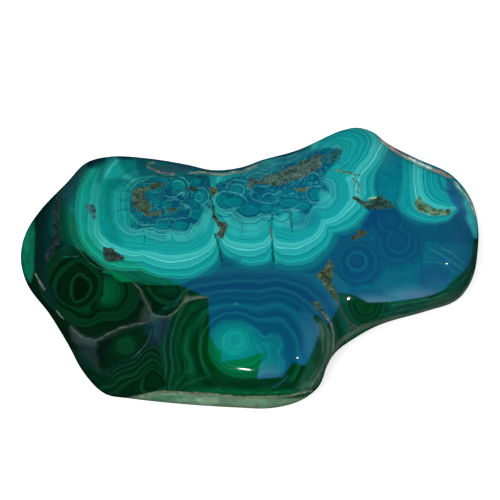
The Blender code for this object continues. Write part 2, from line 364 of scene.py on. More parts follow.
# The fans: pale bands that grew forward from two crusted hollows and from the back edge
LEFT_CRUST = both(
    ring((131, 190), (129, 202), (130, 214), (136, 224), (150, 222), (170, 222), (190, 220),
        (201, 214), (206, 203), (206, 192), (198, 184), (178, 179), (158, 180), (140, 182)),
    discs((137, 221, 7.5), (150, 219.5, 9), (163, 223, 9.5), (180, 223.5, 10), (194, 215, 9),
        (203, 206, 7)))
MIDDLE_CRUST = both(
    discs((226, 201, 9.5, 8.5), (239, 201, 9.5, 6.5), (249.5, 208.5, 13.5, 9), (237, 189, 9),
        (264, 208, 7), (271.5, 207, 7), (282, 208, 8), (294, 203, 8)),
    ring((246, 184), (262, 187), (285, 184), (300, 188), (303, 198), (297, 206), (270, 208),
        (250, 205), (243, 195)))
FANS = [
    nest("fan", (1, 2, 3, 4, 5, 6), (LEFT_CRUST,
        ring((112, 188), (110, 205), (112, 220), (119, 231), (129, 237), (143, 236), (148, 239),
            (158, 242), (168, 242), (172, 239), (178, 244), (188, 243), (195, 238), (203, 232),
            (210, 224), (214, 210), (216, 190), (205, 172), (170, 166), (135, 168), (120, 176)),
        ring((103, 188), (101, 205), (101, 222), (105, 234), (113, 241), (125, 247), (140, 249.5),
            (155, 249.5), (170, 251.5), (185, 251), (199, 247.5), (207, 242), (212, 232),
            (216, 215), (218, 190), (208, 165), (160, 158), (125, 162), (110, 174)),
        ring((98, 188), (96.5, 205), (94, 222), (94, 233), (100, 243), (110, 249), (125, 254.5),
            (136, 256.5), (143, 256), (150, 259), (165, 263), (181, 263), (192, 260.5), (202, 256),
            (210, 251), (216, 243), (219, 230), (219, 205), (217, 180), (205, 158), (160, 150),
            (120, 152), (104, 170)),
        ring((82, 180), (76, 195), (74.5, 208), (75, 222), (78, 236), (85, 249), (94, 258),
            (104, 266), (114, 270.5), (126, 272), (139, 271.5), (148, 274.5), (158, 277.5),
            (172, 279), (187, 278.5), (199, 275.5), (210, 269), (218, 260), (221, 245), (221, 205),
            (218, 170), (200, 148), (150, 140), (115, 142), (95, 160)),
        ring((75, 175), (67, 192), (64, 208), (64.5, 222), (68, 238), (75, 250), (84, 260),
            (93, 269), (104, 275.5), (116, 279), (130, 283), (150, 286.5), (170, 288.5),
            (187, 287), (202, 282.5), (214, 275), (222, 265), (224, 250), (223, 205), (219, 160),
            (195, 140), (145, 130), (108, 135), (88, 158)))),
    nest("fan", (1, 2, 3, 4, 5, 6), (MIDDLE_CRUST,
        ring((217, 205), (221, 218), (229, 227), (238, 231), (250, 232), (261, 230), (268, 224),
            (272, 216), (290, 200), (270, 175), (235, 175), (218, 190)),
        ring((217, 212), (220, 226), (227, 235), (237, 239.5), (249, 240.5), (260, 239.5),
            (268, 234), (272.5, 226), (290, 200), (270, 170), (235, 170), (216, 188)),
        ring((217, 222), (220, 237), (226, 246), (236, 250.5), (248, 251.5), (260, 250),
            (268, 246), (272.5, 238), (290, 200), (270, 160), (230, 165), (214, 188)),
        ring((219, 235), (221, 249), (227, 257), (236, 262.5), (248, 266), (260, 265.5),
            (269, 262), (273, 254), (290, 200), (270, 150), (225, 160), (213, 188)),
        ring((218, 240), (219, 252), (225, 262), (236, 268), (248, 270.5), (260, 270), (270, 267),
            (274, 258), (290, 200), (270, 145), (222, 155), (212, 188)))),
    nest("fan", (1, 2, 3, 4, 5, 6), (
        discs((297, 218, 6.2), (283, 210, 8.5), (275, 209, 7), (304, 206, 8)),
        ring((274, 222), (281, 228), (290, 230), (300, 230), (309, 225), (313, 215), (312, 203),
            (290, 195), (275, 205)),
        ring((274, 234), (282, 239.5), (295, 240.5), (307, 237), (316, 229), (319, 218),
            (316, 203), (290, 190), (273, 205)),
        ring((273.5, 243), (279, 248.5), (288, 250), (298, 249), (308, 245), (317, 239),
            (323, 231), (325, 222), (320, 203), (290, 188), (272, 205)),
        ring((273, 259), (281, 264), (292, 266), (306, 264), (318, 257), (327, 248.5), (332, 241),
            (334, 233), (331, 226), (324, 205), (290, 184), (270, 205)),
        ring((273, 266), (282, 271), (295, 272.5), (309, 270.5), (321, 263.5), (331, 253),
            (338, 242), (339, 232), (334, 224), (326, 205), (290, 180), (268, 205)))),
    nest("fan", (1, 2, 3, 4, 5, 6), (discs((314, 194, 8.5), (322, 190, 6)),
        ring((312, 206), (320, 210), (329, 209.5), (335, 204), (338, 195), (338, 185), (333, 178),
            (320, 178), (308, 185)),
        ring((310, 214), (321, 218), (334, 215), (343, 206.5), (347, 196), (346, 184), (340, 174),
            (320, 172), (304, 182)),
        ring((308, 221), (320, 224.5), (332, 223), (342, 217.5), (351, 209.5), (357, 202),
            (357, 190), (350, 176), (320, 168), (300, 182)),
        ring((318, 230), (330, 233), (342, 232.5), (353, 228), (362, 220), (369.5, 209),
            (366, 200), (360, 185), (352, 170), (320, 164), (298, 182)),
        ring((318, 232), (330, 236), (344, 235.5), (356, 231), (366, 222), (373, 209), (370, 198),
            (363, 180), (352, 166), (320, 160), (296, 182)))),
    nest("fan", (2.2, 2.4, 3.2, 3.95, 5, 5.6), (discs((336, 150, 9)),
        ring((355, 140), (354, 150), (350, 159), (342, 166), (330, 168), (322, 160), (322, 148),
            (335, 138)),
        ring((371, 138), (369, 150), (365, 158), (358, 166), (350, 174), (340, 178), (320, 170),
            (315, 150), (330, 132), (355, 128)),
        ring((385, 138), (380, 150), (376, 159), (369, 167), (362, 176), (360, 186), (360, 199),
            (335, 180), (318, 175), (310, 150), (330, 126), (365, 120)),
        ring((396, 138), (389, 150), (386, 158), (380, 168), (376, 177), (375, 188), (376, 199),
            (350, 203), (316, 185), (305, 150), (330, 115), (380, 112)),
        ring((400, 138), (393, 151), (389, 160), (383, 170), (379, 178), (378, 190), (379, 202),
            (350, 206), (314, 190), (300, 150), (330, 110), (384, 108)))),
    nest("fan", (2.4, 2.6, 3.5, 4.2, 4.95, 5.15), (discs((453, 176, 9)),
        ring((436, 162), (433, 173), (434, 184), (438, 192), (446, 198), (456, 200), (466, 190),
            (466, 170), (450, 155)),
        ring((420, 160), (417, 173), (418, 187), (422, 198), (430, 205), (442, 208.5), (455, 208),
            (470, 198), (470, 165), (450, 145), (430, 148)),
        ring((411, 158), (411, 173), (411, 188), (414, 202), (421, 211), (433, 215), (448, 214),
            (458, 208), (475, 200), (475, 160), (450, 135), (420, 140)),
        ring((402, 152), (402, 173), (401, 190), (397, 199), (399, 208), (405, 214), (413, 218.5),
            (425, 221.5), (440, 222), (450, 219), (457, 212), (480, 202), (485, 160), (450, 125),
            (410, 130)),
        ring((399, 150), (399, 173), (398, 189), (394, 199), (396, 209), (403, 217), (412, 221.5),
            (425, 225), (440, 225.5), (452, 222), (460, 215), (484, 205), (490, 160), (450, 118),
            (405, 122)))),
]

# The small eyes of the right field; their levels count grid steps outward from the eye's rim
EYES = [
    nest("eye", (0, 12.5, 17.5), (discs((357, 261, 8)), discs((358.2, 262.8, 20)),
        discs((360, 265, 25))), 1.0),
    nest("eye", (-0.8, 3.6, 10.4, 20), (discs((390.5, 220, 11.5)), discs((390.5, 220, 12.9)),
        discs((391, 220, 19.5)), discs((392, 220, 24))), 1.0),
    nest("eye", (-0.8, 3.6, 17.4), (discs((399, 241, 10.5)), discs((399, 241, 11.9)),
        discs((398, 244, 24))), 1.0),
    nest("eye", (23, 34), (discs((430, 296, 30, 10)), discs((428, 305, 60, 43))), 1.0, -2.0),
    nest("eye", (0, 8), (discs((300, 281, 9, 6)), discs((300, 281, 17, 12))), 1.0),
    nest("eye", (4.5, 10.4, 16.2, 20), (
        ring((357, 304), (359, 310), (366, 313), (373, 310), (375, 304), (366, 303)),
        ring((352, 303), (355, 312), (366, 316.5), (376, 312), (380, 303), (366, 302)),
        ring((348, 302), (352, 314), (366, 320), (380, 315), (384, 302), (366, 301.5)),
        ring((343, 301.5), (348, 316), (366, 324), (386, 318), (392, 301.5), (366, 301))), 10.0),
]

# The great eye behind the front edge
GREAT_EYE = [
    nest("great", (0, 1, 2, 3, 4, 5, 6, 7, 8), (discs((233.5, 341.5, 7.5)),
        discs((234.5, 342.5, 12.5)),
        ring((258, 331), (263, 336), (266, 338), (270, 335.5), (277, 337), (282, 343), (282, 350),
            (279, 352.5), (282, 357), (284, 364), (281, 371), (275, 373), (267, 372), (258, 376),
            (245, 378), (232, 376), (221, 370), (213, 361), (209, 350), (209, 338), (213, 328),
            (222, 322), (234, 320.5), (246, 322), (253, 326.5)),
        ring((207, 327), (213, 319), (222, 314), (233, 312), (243, 313), (252, 317), (257, 319),
            (268, 318.5), (278, 317.5), (284, 320), (290, 327), (297, 338), (300, 350), (301, 362),
            (297, 374), (288, 384), (270, 389), (245, 391), (222, 388), (209, 378), (202, 362),
            (200, 346), (202, 335)),
        ring((199, 318), (208, 311), (218, 307), (230, 305.5), (245, 306), (258, 309), (268, 306),
            (280, 305), (290, 310), (299, 320), (306, 332), (310, 345), (310, 360), (306, 375),
            (297, 388), (280, 396), (240, 398), (210, 394), (192, 380), (191, 364), (186, 350),
            (189, 334)),
        ring((193, 309), (206, 302.5), (222, 299), (240, 298.5), (258, 300), (275, 297),
            (288, 300), (301, 308), (313, 321), (319, 336), (321, 350), (318, 370), (308, 392),
            (240, 404), (190, 396), (176, 388), (181, 372), (178, 357), (177, 343), (182, 325)),
        ring((189, 298), (205, 294), (222, 291), (240, 290), (258, 291), (275, 288), (290, 291),
            (304, 299), (318, 313), (327, 330), (330, 350), (326, 375), (316, 400), (240, 412),
            (180, 402), (169, 388), (172, 368), (170, 350), (172, 332), (180, 312)),
        ring((186, 290), (205, 284), (222, 282), (240, 280), (258, 281), (275, 279), (290, 282),
            (308, 290), (324, 305), (334, 328), (338, 350), (334, 380), (320, 410), (240, 420),
            (170, 408), (165, 385), (166, 365), (164, 348), (166, 330), (174, 308)),
        ring((186, 280), (205, 276), (222, 274), (240, 272), (258, 273), (275, 273), (290, 275),
            (310, 281), (330, 298), (342, 325), (346, 350), (342, 385), (325, 418), (240, 428),
            (165, 415), (160, 385), (160, 365), (158, 348), (160, 330), (168, 302))), 8.0, 4.0),
]

# The dark bands of the left half and its own eyes
DARK_BANDS = [
    nest("dark", (0, 1, 2, 3, 4), (
        ring((80, 272.5), (86, 277), (91, 282), (92, 288), (89, 295), (84, 300), (76, 303),
            (72, 297), (71, 290), (71, 283), (75, 277)),
        ring((80, 262), (90, 268), (97, 276), (99, 284), (97, 293), (92, 301), (85, 306.5),
            (76, 308), (66, 304), (58, 298), (55, 290), (57, 280), (65, 270), (72, 265)),
        both(
            ring((84, 256), (98, 266), (104, 277), (103, 290), (98, 302), (94, 309), (97, 314),
                (90, 318), (80, 316), (72, 310), (60, 304), (51, 292), (50, 282), (58, 268),
                (72, 258)), discs((110, 290, 15, 17))),
        ring((90, 254), (105, 267), (120, 275), (130, 282), (133.5, 290), (132, 302), (124, 311),
            (112, 314), (104, 313), (98, 315), (92, 319), (84, 321), (74, 318), (60, 309),
            (48, 294), (46, 280), (54, 264), (70, 252)),
        ring((92, 250), (110, 265), (128, 276), (138, 284), (139, 295), (136, 305), (128, 314),
            (118, 319), (106, 319.5), (98, 321.5), (90, 325), (82, 326), (72, 322), (60, 313),
            (44, 296), (41, 280), (50, 260), (68, 246))), 30.0),
    nest("dark", (-3.0, -2.4, -2.0), (discs((106, 291, 6, 9)), discs((109, 291, 14.5, 16)),
        ring((92, 306), (101, 296), (103, 282), (101, 272), (112, 272), (124, 279), (128, 290),
            (125, 302), (116, 310), (104, 311), (97, 313))), 20.0, 0.0, True),
]
LOWER_LEFT = [
    nest("peak", (3.0, 4.0, 5.0, 6.0, 7.0, 8.0), (
        ring((145, 392), (143, 379), (148, 371), (153, 368), (159, 371), (165, 379), (169, 392)),
        ring((112, 398), (118.7, 389), (129.8, 381.2), (141, 377), (146, 370), (152, 366),
            (157, 367), (163, 374), (170, 383), (173, 398)),
        ring((90, 398), (100, 388), (112, 386), (118.7, 380.3), (127.6, 376.4), (136.5, 373.5),
            (143, 367), (150, 361), (155, 360), (161, 366), (168, 376), (175, 398)),
        ring((80, 386), (92, 377), (98, 381), (106, 384), (111, 381), (116.5, 374.5),
            (125.4, 370.6), (134.3, 367.7), (141, 361), (147, 355), (153, 354), (160, 359),
            (166, 369), (173, 379), (177, 400)),
        ring((76, 372), (92, 368), (97, 373), (103, 377), (108, 378), (112, 374), (118.7, 368.3),
            (127.6, 365.4), (136.5, 361.5), (143, 354), (150, 349), (156, 349), (161, 354),
            (166, 363), (173, 376), (179, 400)),
        ring((70, 358), (88, 354), (98, 366), (106, 371), (112, 366), (120.9, 359.1),
            (132.1, 355.9), (139.9, 349.1), (146, 342), (153, 338), (159, 339), (165, 347),
            (171, 369), (183, 400))), 20.0),
    nest("peak", (10.0, 11.0, 12.0), (discs((127, 345, 3.5)), discs((126, 345.5, 11, 10)),
        ring((97, 366), (100, 347), (112, 334), (130, 326), (148, 325), (152, 334), (145, 346),
            (135, 356), (120, 362), (108, 368))), 20.0),
    nest("peak", (13.0, 14.0, 15.0), (discs((168, 290, 9, 3)),
        ring((150, 284), (153, 295), (160, 301.5), (170, 303.5), (180, 300.5), (187, 293),
            (190, 284)),
        ring((142, 284), (147, 299), (157, 308), (170, 310), (182, 305), (191, 296), (197, 284))),
        20.0),
]

# Inclusions of other rock: display colour and outline
INCLUSIONS = [
    ((60, 78, 58), ring((331, 259), (326, 266), (318, 275), (321, 281), (328, 290), (335, 300),
        (338.5, 304), (338, 297), (333.5, 288), (332, 280), (333, 268))),
    ((62, 84, 72), ring((311, 302), (318, 302), (322, 308), (327, 316), (331, 324), (324, 317),
        (317, 310))),
    ((70, 110, 82), ring((419, 195), (415, 207), (422, 212.5), (430, 215), (440, 215.5),
        (449, 215), (452, 209.5), (446, 209), (440, 210), (433, 207), (424, 202))),
    ((62, 92, 84), ring((249, 187), (248, 181), (252, 178), (258, 180), (268, 175), (276, 173),
        (284, 170), (290, 166), (297, 165), (303, 160), (310, 158), (316, 155), (321, 157),
        (322, 163), (320, 168), (316, 172), (311, 172), (306, 176), (298, 179), (290, 180),
        (283, 184), (276, 186), (268, 184), (258, 185), (252, 188))),
    ((26, 84, 84), ring((325, 158), (330, 153), (337, 149), (341, 151), (338, 157), (330, 163))),
    ((58, 84, 68), ring((133, 192), (138, 187), (146, 186), (150, 188), (146, 192), (145, 198),
        (149, 202), (152, 205), (150, 210), (146, 213), (140, 212), (135, 208), (132, 201))),
    ((58, 80, 60), ring((150, 184), (158, 182.5), (166, 184), (160, 187), (155, 189), (150, 188))),
    ((66, 82, 64), ring((145, 212), (152, 213), (158, 211.5), (163, 209.5), (164, 211.5),
        (158, 214.5), (150, 216), (145, 214.5))),
    ((46, 84, 74), ring((168, 209), (175, 207.5), (179, 209), (172, 211.5))),
    ((68, 78, 52), ring((210, 187), (218, 188), (215, 196), (212, 194))),
    ((32, 60, 50), ring((190, 187), (197, 188), (196, 190), (190, 189))),
    ((56, 74, 64), ring((212, 203), (214, 211), (219, 220), (224, 222), (227, 226), (225, 233),
        (223, 238), (219, 237), (216, 234), (219, 229), (216, 222), (212.5, 214))),
    ((84, 94, 70), ring((294, 188), (298, 190), (303, 189), (308, 186), (310, 188), (304, 191.5),
        (298, 192))), ((62, 118, 96), stroke(0.9, (330, 170), (345, 171.5), (361, 176))),
    ((66, 114, 104), stroke(1.2, (353, 179), (358, 184), (358, 192), (357, 199))),
    ((150, 176, 140), stroke(0.3, (360, 197.5), (368, 198), (377, 198.5))),
    ((38, 72, 64), ring((354, 195), (359, 199), (368, 200), (379, 197.5), (383, 195), (385, 200),
        (391, 202), (393, 207.5), (383, 208), (374, 209), (366, 208), (359, 203), (353, 198))),
    ((66, 68, 42), ring((350, 239), (356, 235), (360, 231), (366, 231), (365, 235), (357, 237.5))),
    ((46, 68, 52), ring((349, 322), (357, 327), (351, 331))),
    ((42, 92, 92), ring((84, 206), (96, 207), (95, 219), (90, 213))),
    ((40, 54, 52), ring((103, 247.5), (110, 248), (118, 252.5), (124, 258.5), (115, 260),
        (107, 260))),
    ((26, 44, 46), ring((55, 198), (61, 198), (60, 215), (60, 240), (55, 252), (47, 263),
        (46, 256), (53, 243), (54, 225))),
]

# Veins and painted highlights: display colour, half width in grid steps, and the points they run
# through
VEINS_AND_HIGHLIGHTS = [
    ((86, 98, 84), 0.35, ((132, 282), (142, 292), (147, 304), (152, 313), (160, 316.5),
        (168, 316.5), (177, 310), (186, 300), (194, 297), (208, 297.5))),
    ((80, 90, 82), 0.3, ((71, 327), (77, 334), (85, 338), (95, 340), (104, 336), (118, 329),
        (133, 325), (150, 321), (155, 317))),
    ((38, 50, 44), 0.35, ((94, 341), (95, 350), (98, 362), (98, 372))),
    ((52, 74, 68), 0.3, ((153, 318), (152, 330), (147, 342), (140, 352), (132, 358))),
    ((112, 118, 92), 0.5, ((128, 397.5), (140, 396.5), (150, 393.5), (160, 391.8), (175, 391.8),
        (200, 393.5), (240, 396.5), (280, 396.5), (312, 391))),
    ((118, 122, 114), 0.4, ((326, 316), (331, 326), (334, 338), (333, 352), (327, 368))),
    ((60, 68, 62), 0.5, ((335, 288), (339, 300), (342.5, 311), (348, 321), (355, 328))),
    ((24, 84, 74), 0.4, ((62, 257), (70, 257), (80, 256))),
    # Painted highlights: two small glints on the left rim
    ((116, 126, 110), 0.5, ((36, 274), (40, 282), (45, 289))),
    ((108, 118, 104), 0.5, ((57, 311), (63, 318))),
    # Painted highlights along the back rim: pale pink and white lines
    ((222, 178, 158), 0.8, ((381, 139), (390, 147), (400, 153), (408, 157.5))),
    ((236, 232, 222), 0.9, ((410, 158.5), (420, 163.5), (430, 168))),
    ((212, 142, 122), 0.9, ((433, 169.3), (440, 172.5), (450, 177.5))),
    ((196, 194, 176), 0.6, ((455, 182), (461, 189), (467, 197.5), (472, 206), (475, 214))),
    ((40, 92, 92), 0.4, ((390, 151), (400, 157), (410, 162.5), (420, 167), (430, 172), (440, 176),
        (448, 180), (456, 189), (463, 199))),
    ((130, 158, 124), 0.25, ((416, 208), (421, 212), (428, 214.5), (432, 211.5), (439, 213.5),
        (447, 215))),
    ((144, 150, 132), 0.7, ((190, 173), (200, 172.5), (210, 174), (222, 174.5), (235, 172.5),
        (248, 169), (258, 165.5))),
    ((124, 112, 98), 0.6, ((155, 162.5), (149, 164), (148.5, 167), (154, 170), (163, 172.5),
        (174, 174))),
    ((22, 62, 62), 0.5, ((150, 174), (162, 176), (176, 177), (190, 176), (203, 177))),
    ((74, 30, 20), 0.8, ((270, 228), (271.5, 234), (272.5, 239))),
    ((0, 52, 40), 0.8, ((215, 234), (218, 243), (220.5, 253), (222.5, 262))),
    ((0, 50, 40), 0.7, ((211, 196), (213, 206), (215, 218))),
    ((0, 54, 44), 0.7, ((272, 214), (271.5, 228))),
    ((0, 60, 50), 0.8, ((272.5, 239), (273, 252), (273.5, 262))),
    ((0, 54, 46), 0.6, ((291, 212), (291.5, 222), (292, 232))),
]

# Some washes are painted reflections, highlights and shade, each marked where it stands
# Washes: display colour, strength, softness in grid steps, and outline
WASHES = [
    ((4, 96, 80), 0.7, 3.0, ring((116, 150), (118, 160), (124, 170), (132, 177), (146, 178),
        (146, 150))),
    ((3, 72, 56), 0.85, 3.0, ring((134, 150), (136, 160), (138, 170), (142, 176), (152, 177),
        (170, 176), (190, 175), (215, 176), (240, 172), (262, 164), (262, 138), (118, 138))),
    ((44, 66, 50), 0.7, 2.0, ring((150, 169), (160, 166), (176, 165), (192, 168), (182, 172),
        (160, 172))),
    ((4, 30, 26), 0.8, 1.5, ring((118, 156), (136, 155), (132, 160), (120, 160))),
    ((24, 62, 66), 0.75, 3.0, ring((58, 192), (68, 180), (80, 168), (90, 163), (88, 172),
        (80, 182), (74, 198), (66, 205))),
    ((6, 58, 60), 0.55, 4.0, ring((46, 196), (54, 192), (53, 225), (52, 244), (44, 256),
        (42, 230))),
    ((6, 62, 54), 0.55, 4.0, ring((61, 202), (68, 200), (66, 225), (72, 246), (64, 252),
        (61, 232))),
    ((44, 128, 98), 0.6, 0.7, stroke(0.35, (72, 205), (70, 220), (73, 238), (82, 254), (95, 266),
        (108, 272))),
    ((44, 128, 98), 0.6, 0.7, stroke(0.35, (75.5, 205), (73.5, 220), (76.5, 237), (86, 253),
        (99, 264.5), (112, 271))),
    ((10, 66, 48), 0.8, 2.5, stroke(1.0, (106, 186), (114, 185), (122, 181), (131, 184))),
    ((8, 14, 24), 0.95, 1.5, ring((88, 168), (90, 161), (98, 158), (107, 157.5), (105, 164),
        (98, 168))),
    ((2, 78, 44), 0.8, 4.0, ring((100, 186), (108, 180), (118, 179), (128, 183), (118, 189),
        (106, 194))),
    ((20, 62, 36), 0.85, 2.0, ring((104, 254), (112, 258), (119, 260), (114, 263), (106, 261))),
    ((14, 28, 40), 1.0, 1.0, stroke(0.6, (112, 256), (118, 259), (124, 260.5))),
    ((3, 120, 68), 0.8, 1.0, ring((112, 273), (118, 281), (132, 282), (122, 276))),
    ((46, 64, 62), 0.65, 3.5, stroke(1.5, (72, 329), (82, 338), (92, 341), (105, 337), (120, 329),
        (135, 325), (150, 320))),
    ((60, 76, 76), 0.6, 3.0, ring((71, 326), (80, 335), (94, 340), (98, 346), (90, 345), (78, 343),
        (72, 338))),
    ((38, 52, 58), 0.4, 4.0, ring((72, 334), (84, 340), (94, 343), (97, 356), (98, 370), (90, 362),
        (80, 350))),
    ((70, 88, 84), 0.55, 2.5, stroke(0.8, (142, 292), (147, 305), (155, 316), (166, 318.5),
        (175, 312), (184, 302), (192, 298))),
    ((60, 76, 74), 0.4, 3.0, ring((145, 306), (152, 316), (160, 318), (156, 326), (150, 322),
        (140, 320))),
    ((82, 98, 80), 0.7, 1.2, ring((183, 300), (188, 294), (190, 297), (206, 297), (192, 300),
        (186, 303))),
    ((24, 38, 58), 0.65, 4.0, ring((154, 319), (170, 318), (167, 332), (160, 343), (150, 346),
        (151, 334))),
    ((15, 86, 54), 0.6, 0.8, stroke(0.45, (150, 288), (158, 298), (170, 301.5), (182, 298),
        (189, 290))),
    ((3, 40, 24), 0.6, 1.2, stroke(0.7, (148, 291), (157, 301.5), (170, 305.5), (183, 301))),
    ((10, 60, 70), 0.5, 3.0, ring((144, 322), (152, 322), (151, 334), (145, 334))),
    ((6, 18, 18), 0.7, 4.0, ring((97, 348), (104, 340), (112, 338), (108, 352), (102, 366),
        (97, 362))),
    ((8, 102, 74), 0.9, 1.5, ring((20, 220), (27, 204), (34, 214), (35, 240), (34, 262), (31, 282),
        (24, 272), (18, 245))),
    ((20, 130, 104), 0.6, 2.0, ring((22, 222), (27, 212), (30, 225), (28, 250), (22, 250))),
    ((6, 34, 34), 0.8, 2.5, ring((37, 205), (45, 190), (55, 190), (50, 215), (47, 240), (44, 262),
        (50, 285), (58, 300), (54, 305), (44, 292), (37, 275), (37, 240))),
    ((0, 62, 34), 0.8, 2.0, ring((168, 388), (185, 386), (210, 383), (240, 387), (270, 391),
        (308, 390), (306, 395), (240, 396), (200, 393))),
    ((0, 106, 92), 0.95, 2.0, ring((388, 132), (400, 150), (403, 172), (401, 190), (397, 200),
        (384, 202), (379, 196), (378, 178), (382, 160), (392, 146))),
    ((0, 132, 112), 0.6, 3.0, ring((403, 152), (411, 160), (411, 190), (414, 206), (404, 212),
        (400, 200), (403, 180))),
    ((33, 111, 99), 0.8, 2.0, ring((236, 173), (250, 166), (270, 160), (290, 154), (310, 148),
        (322, 147), (302, 158), (282, 166), (262, 174), (246, 178))),
    ((2, 120, 98), 0.7, 3.0, ring((99, 182), (98, 205), (99, 222), (104, 236), (114, 243),
        (124, 244), (119, 232), (113, 222), (111, 205), (112, 190), (108, 180))),
    ((50, 162, 148), 0.95, 2.0, ring((467, 200), (473, 204), (477, 215), (479, 228), (476, 238),
        (470, 228), (466, 215))),
    ((28, 54, 84), 0.8, 2.0, ring((446, 180), (452, 182), (458, 190), (464, 202), (467, 215),
        (460, 212), (454, 205), (449, 195))),
    ((24, 46, 84), 0.4, 3.0, ring((457, 208), (465, 212), (466, 228), (464, 244), (457, 240),
        (455, 222))),
    ((3, 132, 110), 0.6, 2.0, ring((110, 183), (118, 180), (131, 188), (130, 208), (134, 222),
        (126, 228), (116, 222), (111, 205))),
    ((28, 158, 142), 0.8, 1.5, discs((297, 218, 6, 6), (284.5, 217, 6, 4))),
    ((0, 34, 18), 0.55, 4.0, stroke(2.5, (200, 309), (193, 326), (191, 344), (196, 362),
        (204, 376))),
    ((2, 62, 34), 0.6, 3.0, ring((210, 372), (222, 377), (240, 381), (262, 380), (284, 381),
        (300, 384), (262, 389), (225, 387))),
    ((8, 68, 50), 0.6, 2.5, ring((222, 258), (240, 258), (238, 264), (231, 268), (224, 265))),
    ((14, 34, 46), 0.6, 3.0, ring((424, 270), (434, 266), (446, 270), (450, 277), (442, 283),
        (428, 284), (418, 282))),
    ((10, 58, 40), 0.5, 4.0, ring((412, 284), (424, 270), (440, 264), (456, 270), (450, 284),
        (430, 292))),
    ((50, 124, 112), 0.8, 0.8, stroke(0.35, (430, 250), (446, 258), (460, 268), (468, 275))),
    ((54, 124, 116), 0.8, 0.8, stroke(0.35, (440, 247), (455, 256), (470, 268))),
    ((36, 104, 92), 0.8, 0.8, stroke(0.35, (426, 262), (440, 262), (454, 272))),
    ((6, 44, 34), 0.5, 0.9, stroke(0.5, (434, 255), (448, 262), (464, 274))),
    ((6, 44, 34), 0.5, 0.9, stroke(0.5, (444, 252), (458, 260), (471, 270))),
    ((24, 90, 72), 0.5, 0.8, stroke(0.35, (444, 240), (452, 246), (464, 246))),
    ((2, 76, 48), 0.6, 4.0, ring((394, 268), (405, 263), (417, 268), (419, 280), (412, 290),
        (398, 290), (392, 280))),
    ((2, 30, 20), 0.8, 2.0, stroke(1.0, (421, 255), (422, 270), (423, 285))),
    ((16, 58, 48), 0.8, 3.0, stroke(7.0, (388, 312), (405, 309), (430, 304), (452, 296),
        (466, 280), (473, 262))),
    ((15, 79, 62), 0.7, 1.2, stroke(1.0, (400, 303.5), (420, 300.5), (440, 296.5), (455, 289),
        (463, 281), (470, 268))),
    ((26, 106, 78), 0.7, 0.9, stroke(0.5, (392, 306), (410, 303), (430, 299), (447, 293))),
    ((46, 100, 82), 0.6, 0.8, stroke(0.4, (396, 311), (415, 307), (440, 301), (452, 297))),
    ((50, 74, 58), 0.4, 1.5, ring((428, 303), (445, 296), (462, 290), (455, 300), (440, 306),
        (430, 307))), ((4, 36, 26), 0.7, 1.0, stroke(0.6, (448, 286), (458, 281), (468, 272))),
    ((4, 36, 26), 0.6, 1.0, stroke(0.6, (446, 292), (460, 287), (470, 277))),
    ((80, 98, 80), 0.75, 1.5, stroke(2.2, (334, 352), (340, 343), (348, 336), (360, 328.5),
        (372, 323.5), (385, 320.5), (400, 316.5))),
    ((94, 114, 104), 0.6, 1.2, stroke(1.0, (400, 316), (420, 311.5), (440, 306.5), (456, 299),
        (466, 289), (473, 275))), ((6, 66, 30), 0.8, 2.5, discs((366, 305, 9, 8))),
    ((7, 91, 64), 0.7, 0.8, stroke(0.5, (351, 303), (353, 311), (360, 317.5), (370, 318),
        (377, 312), (379, 304))),
    ((14, 92, 60), 0.6, 0.8, stroke(0.5, (356, 303), (358, 309), (364, 313.5), (371, 312),
        (374, 305))), ((8, 80, 52), 0.7, 0.8, stroke(0.5, (346, 304), (348, 313), (356, 321))),
    ((12, 96, 66), 0.7, 0.8, stroke(0.6, (384, 303), (383, 311), (377, 320))),
    ((16, 97, 76), 0.7, 0.8, stroke(0.4, (388, 302), (388, 310), (384, 318))),
    ((16, 90, 64), 0.6, 0.8, stroke(0.4, (393, 302), (392, 309), (389, 316))),
    ((3, 36, 20), 0.7, 1.0, stroke(0.7, (342, 305), (345, 314), (352, 323))),
    ((10, 56, 42), 0.85, 0.9, stroke(0.9, (334, 291), (341, 294), (350, 295.5), (360, 298))),
    ((18, 84, 86), 0.6, 3.0, ring((300, 312), (310, 314), (317, 318), (319, 335), (316, 348),
        (310, 362), (300, 362), (303, 345), (302, 330))),
    ((3, 42, 26), 0.8, 3.0, ring((205, 372), (222, 380), (250, 381), (282, 380), (300, 384),
        (300, 388), (250, 389), (215, 387), (203, 384))),
    ((2, 76, 42), 0.8, 1.2, ring((190, 387), (210, 388.5), (240, 389.5), (265, 391), (285, 389.5),
        (300, 391.5), (312, 392), (300, 394.5), (260, 394.5), (225, 393.5), (195, 391.5))),
    ((32, 111, 79), 0.5, 0.8, stroke(0.3, (205, 390), (240, 391.5), (262, 393), (285, 391.5),
        (300, 393))),
    ((24, 72, 54), 0.75, 2.5, ring((313, 318), (319, 322), (322, 340), (320, 358), (316, 374),
        (306, 386), (296, 388), (304, 372), (312, 356), (318, 338))),
    ((65, 106, 94), 0.6, 3.0, ring((320, 320), (331, 333), (333, 350), (328, 365), (320, 380),
        (306, 392), (300, 389), (312, 377), (320, 362), (323, 345), (317, 330))),
    ((28, 66, 50), 0.7, 1.0, stroke(0.8, (322, 322), (326, 335), (325, 350), (320, 366),
        (313, 380))),
    ((116, 124, 104), 0.6, 0.8, stroke(0.5, (329, 340), (327, 356), (320, 372), (310, 388))),
    ((96, 112, 92), 0.6, 0.8, stroke(0.5, (320, 324), (323, 338), (322, 352))),
    # Painted highlight: a tiny bright speck
    ((60, 168, 168), 0.7, 0.8, discs((236.5, 304, 1.2, 0.8))),
    # Painted reflection of a pale floor: the pale band along the front rim, with its lighter
    # patches and line
    ((92, 124, 100), 0.9, 1.5, ring((128, 398), (150, 393.5), (180, 393), (215, 396), (260, 398),
        (298, 398), (314, 394), (312, 402), (280, 412), (200, 412), (130, 406))),
    ((104, 152, 124), 0.5, 1.5, ring((162, 395), (180, 394), (200, 397), (196, 402), (170, 401))),
    ((104, 146, 118), 0.4, 1.5, ring((228, 400), (250, 400), (272, 399), (262, 405), (236, 405))),
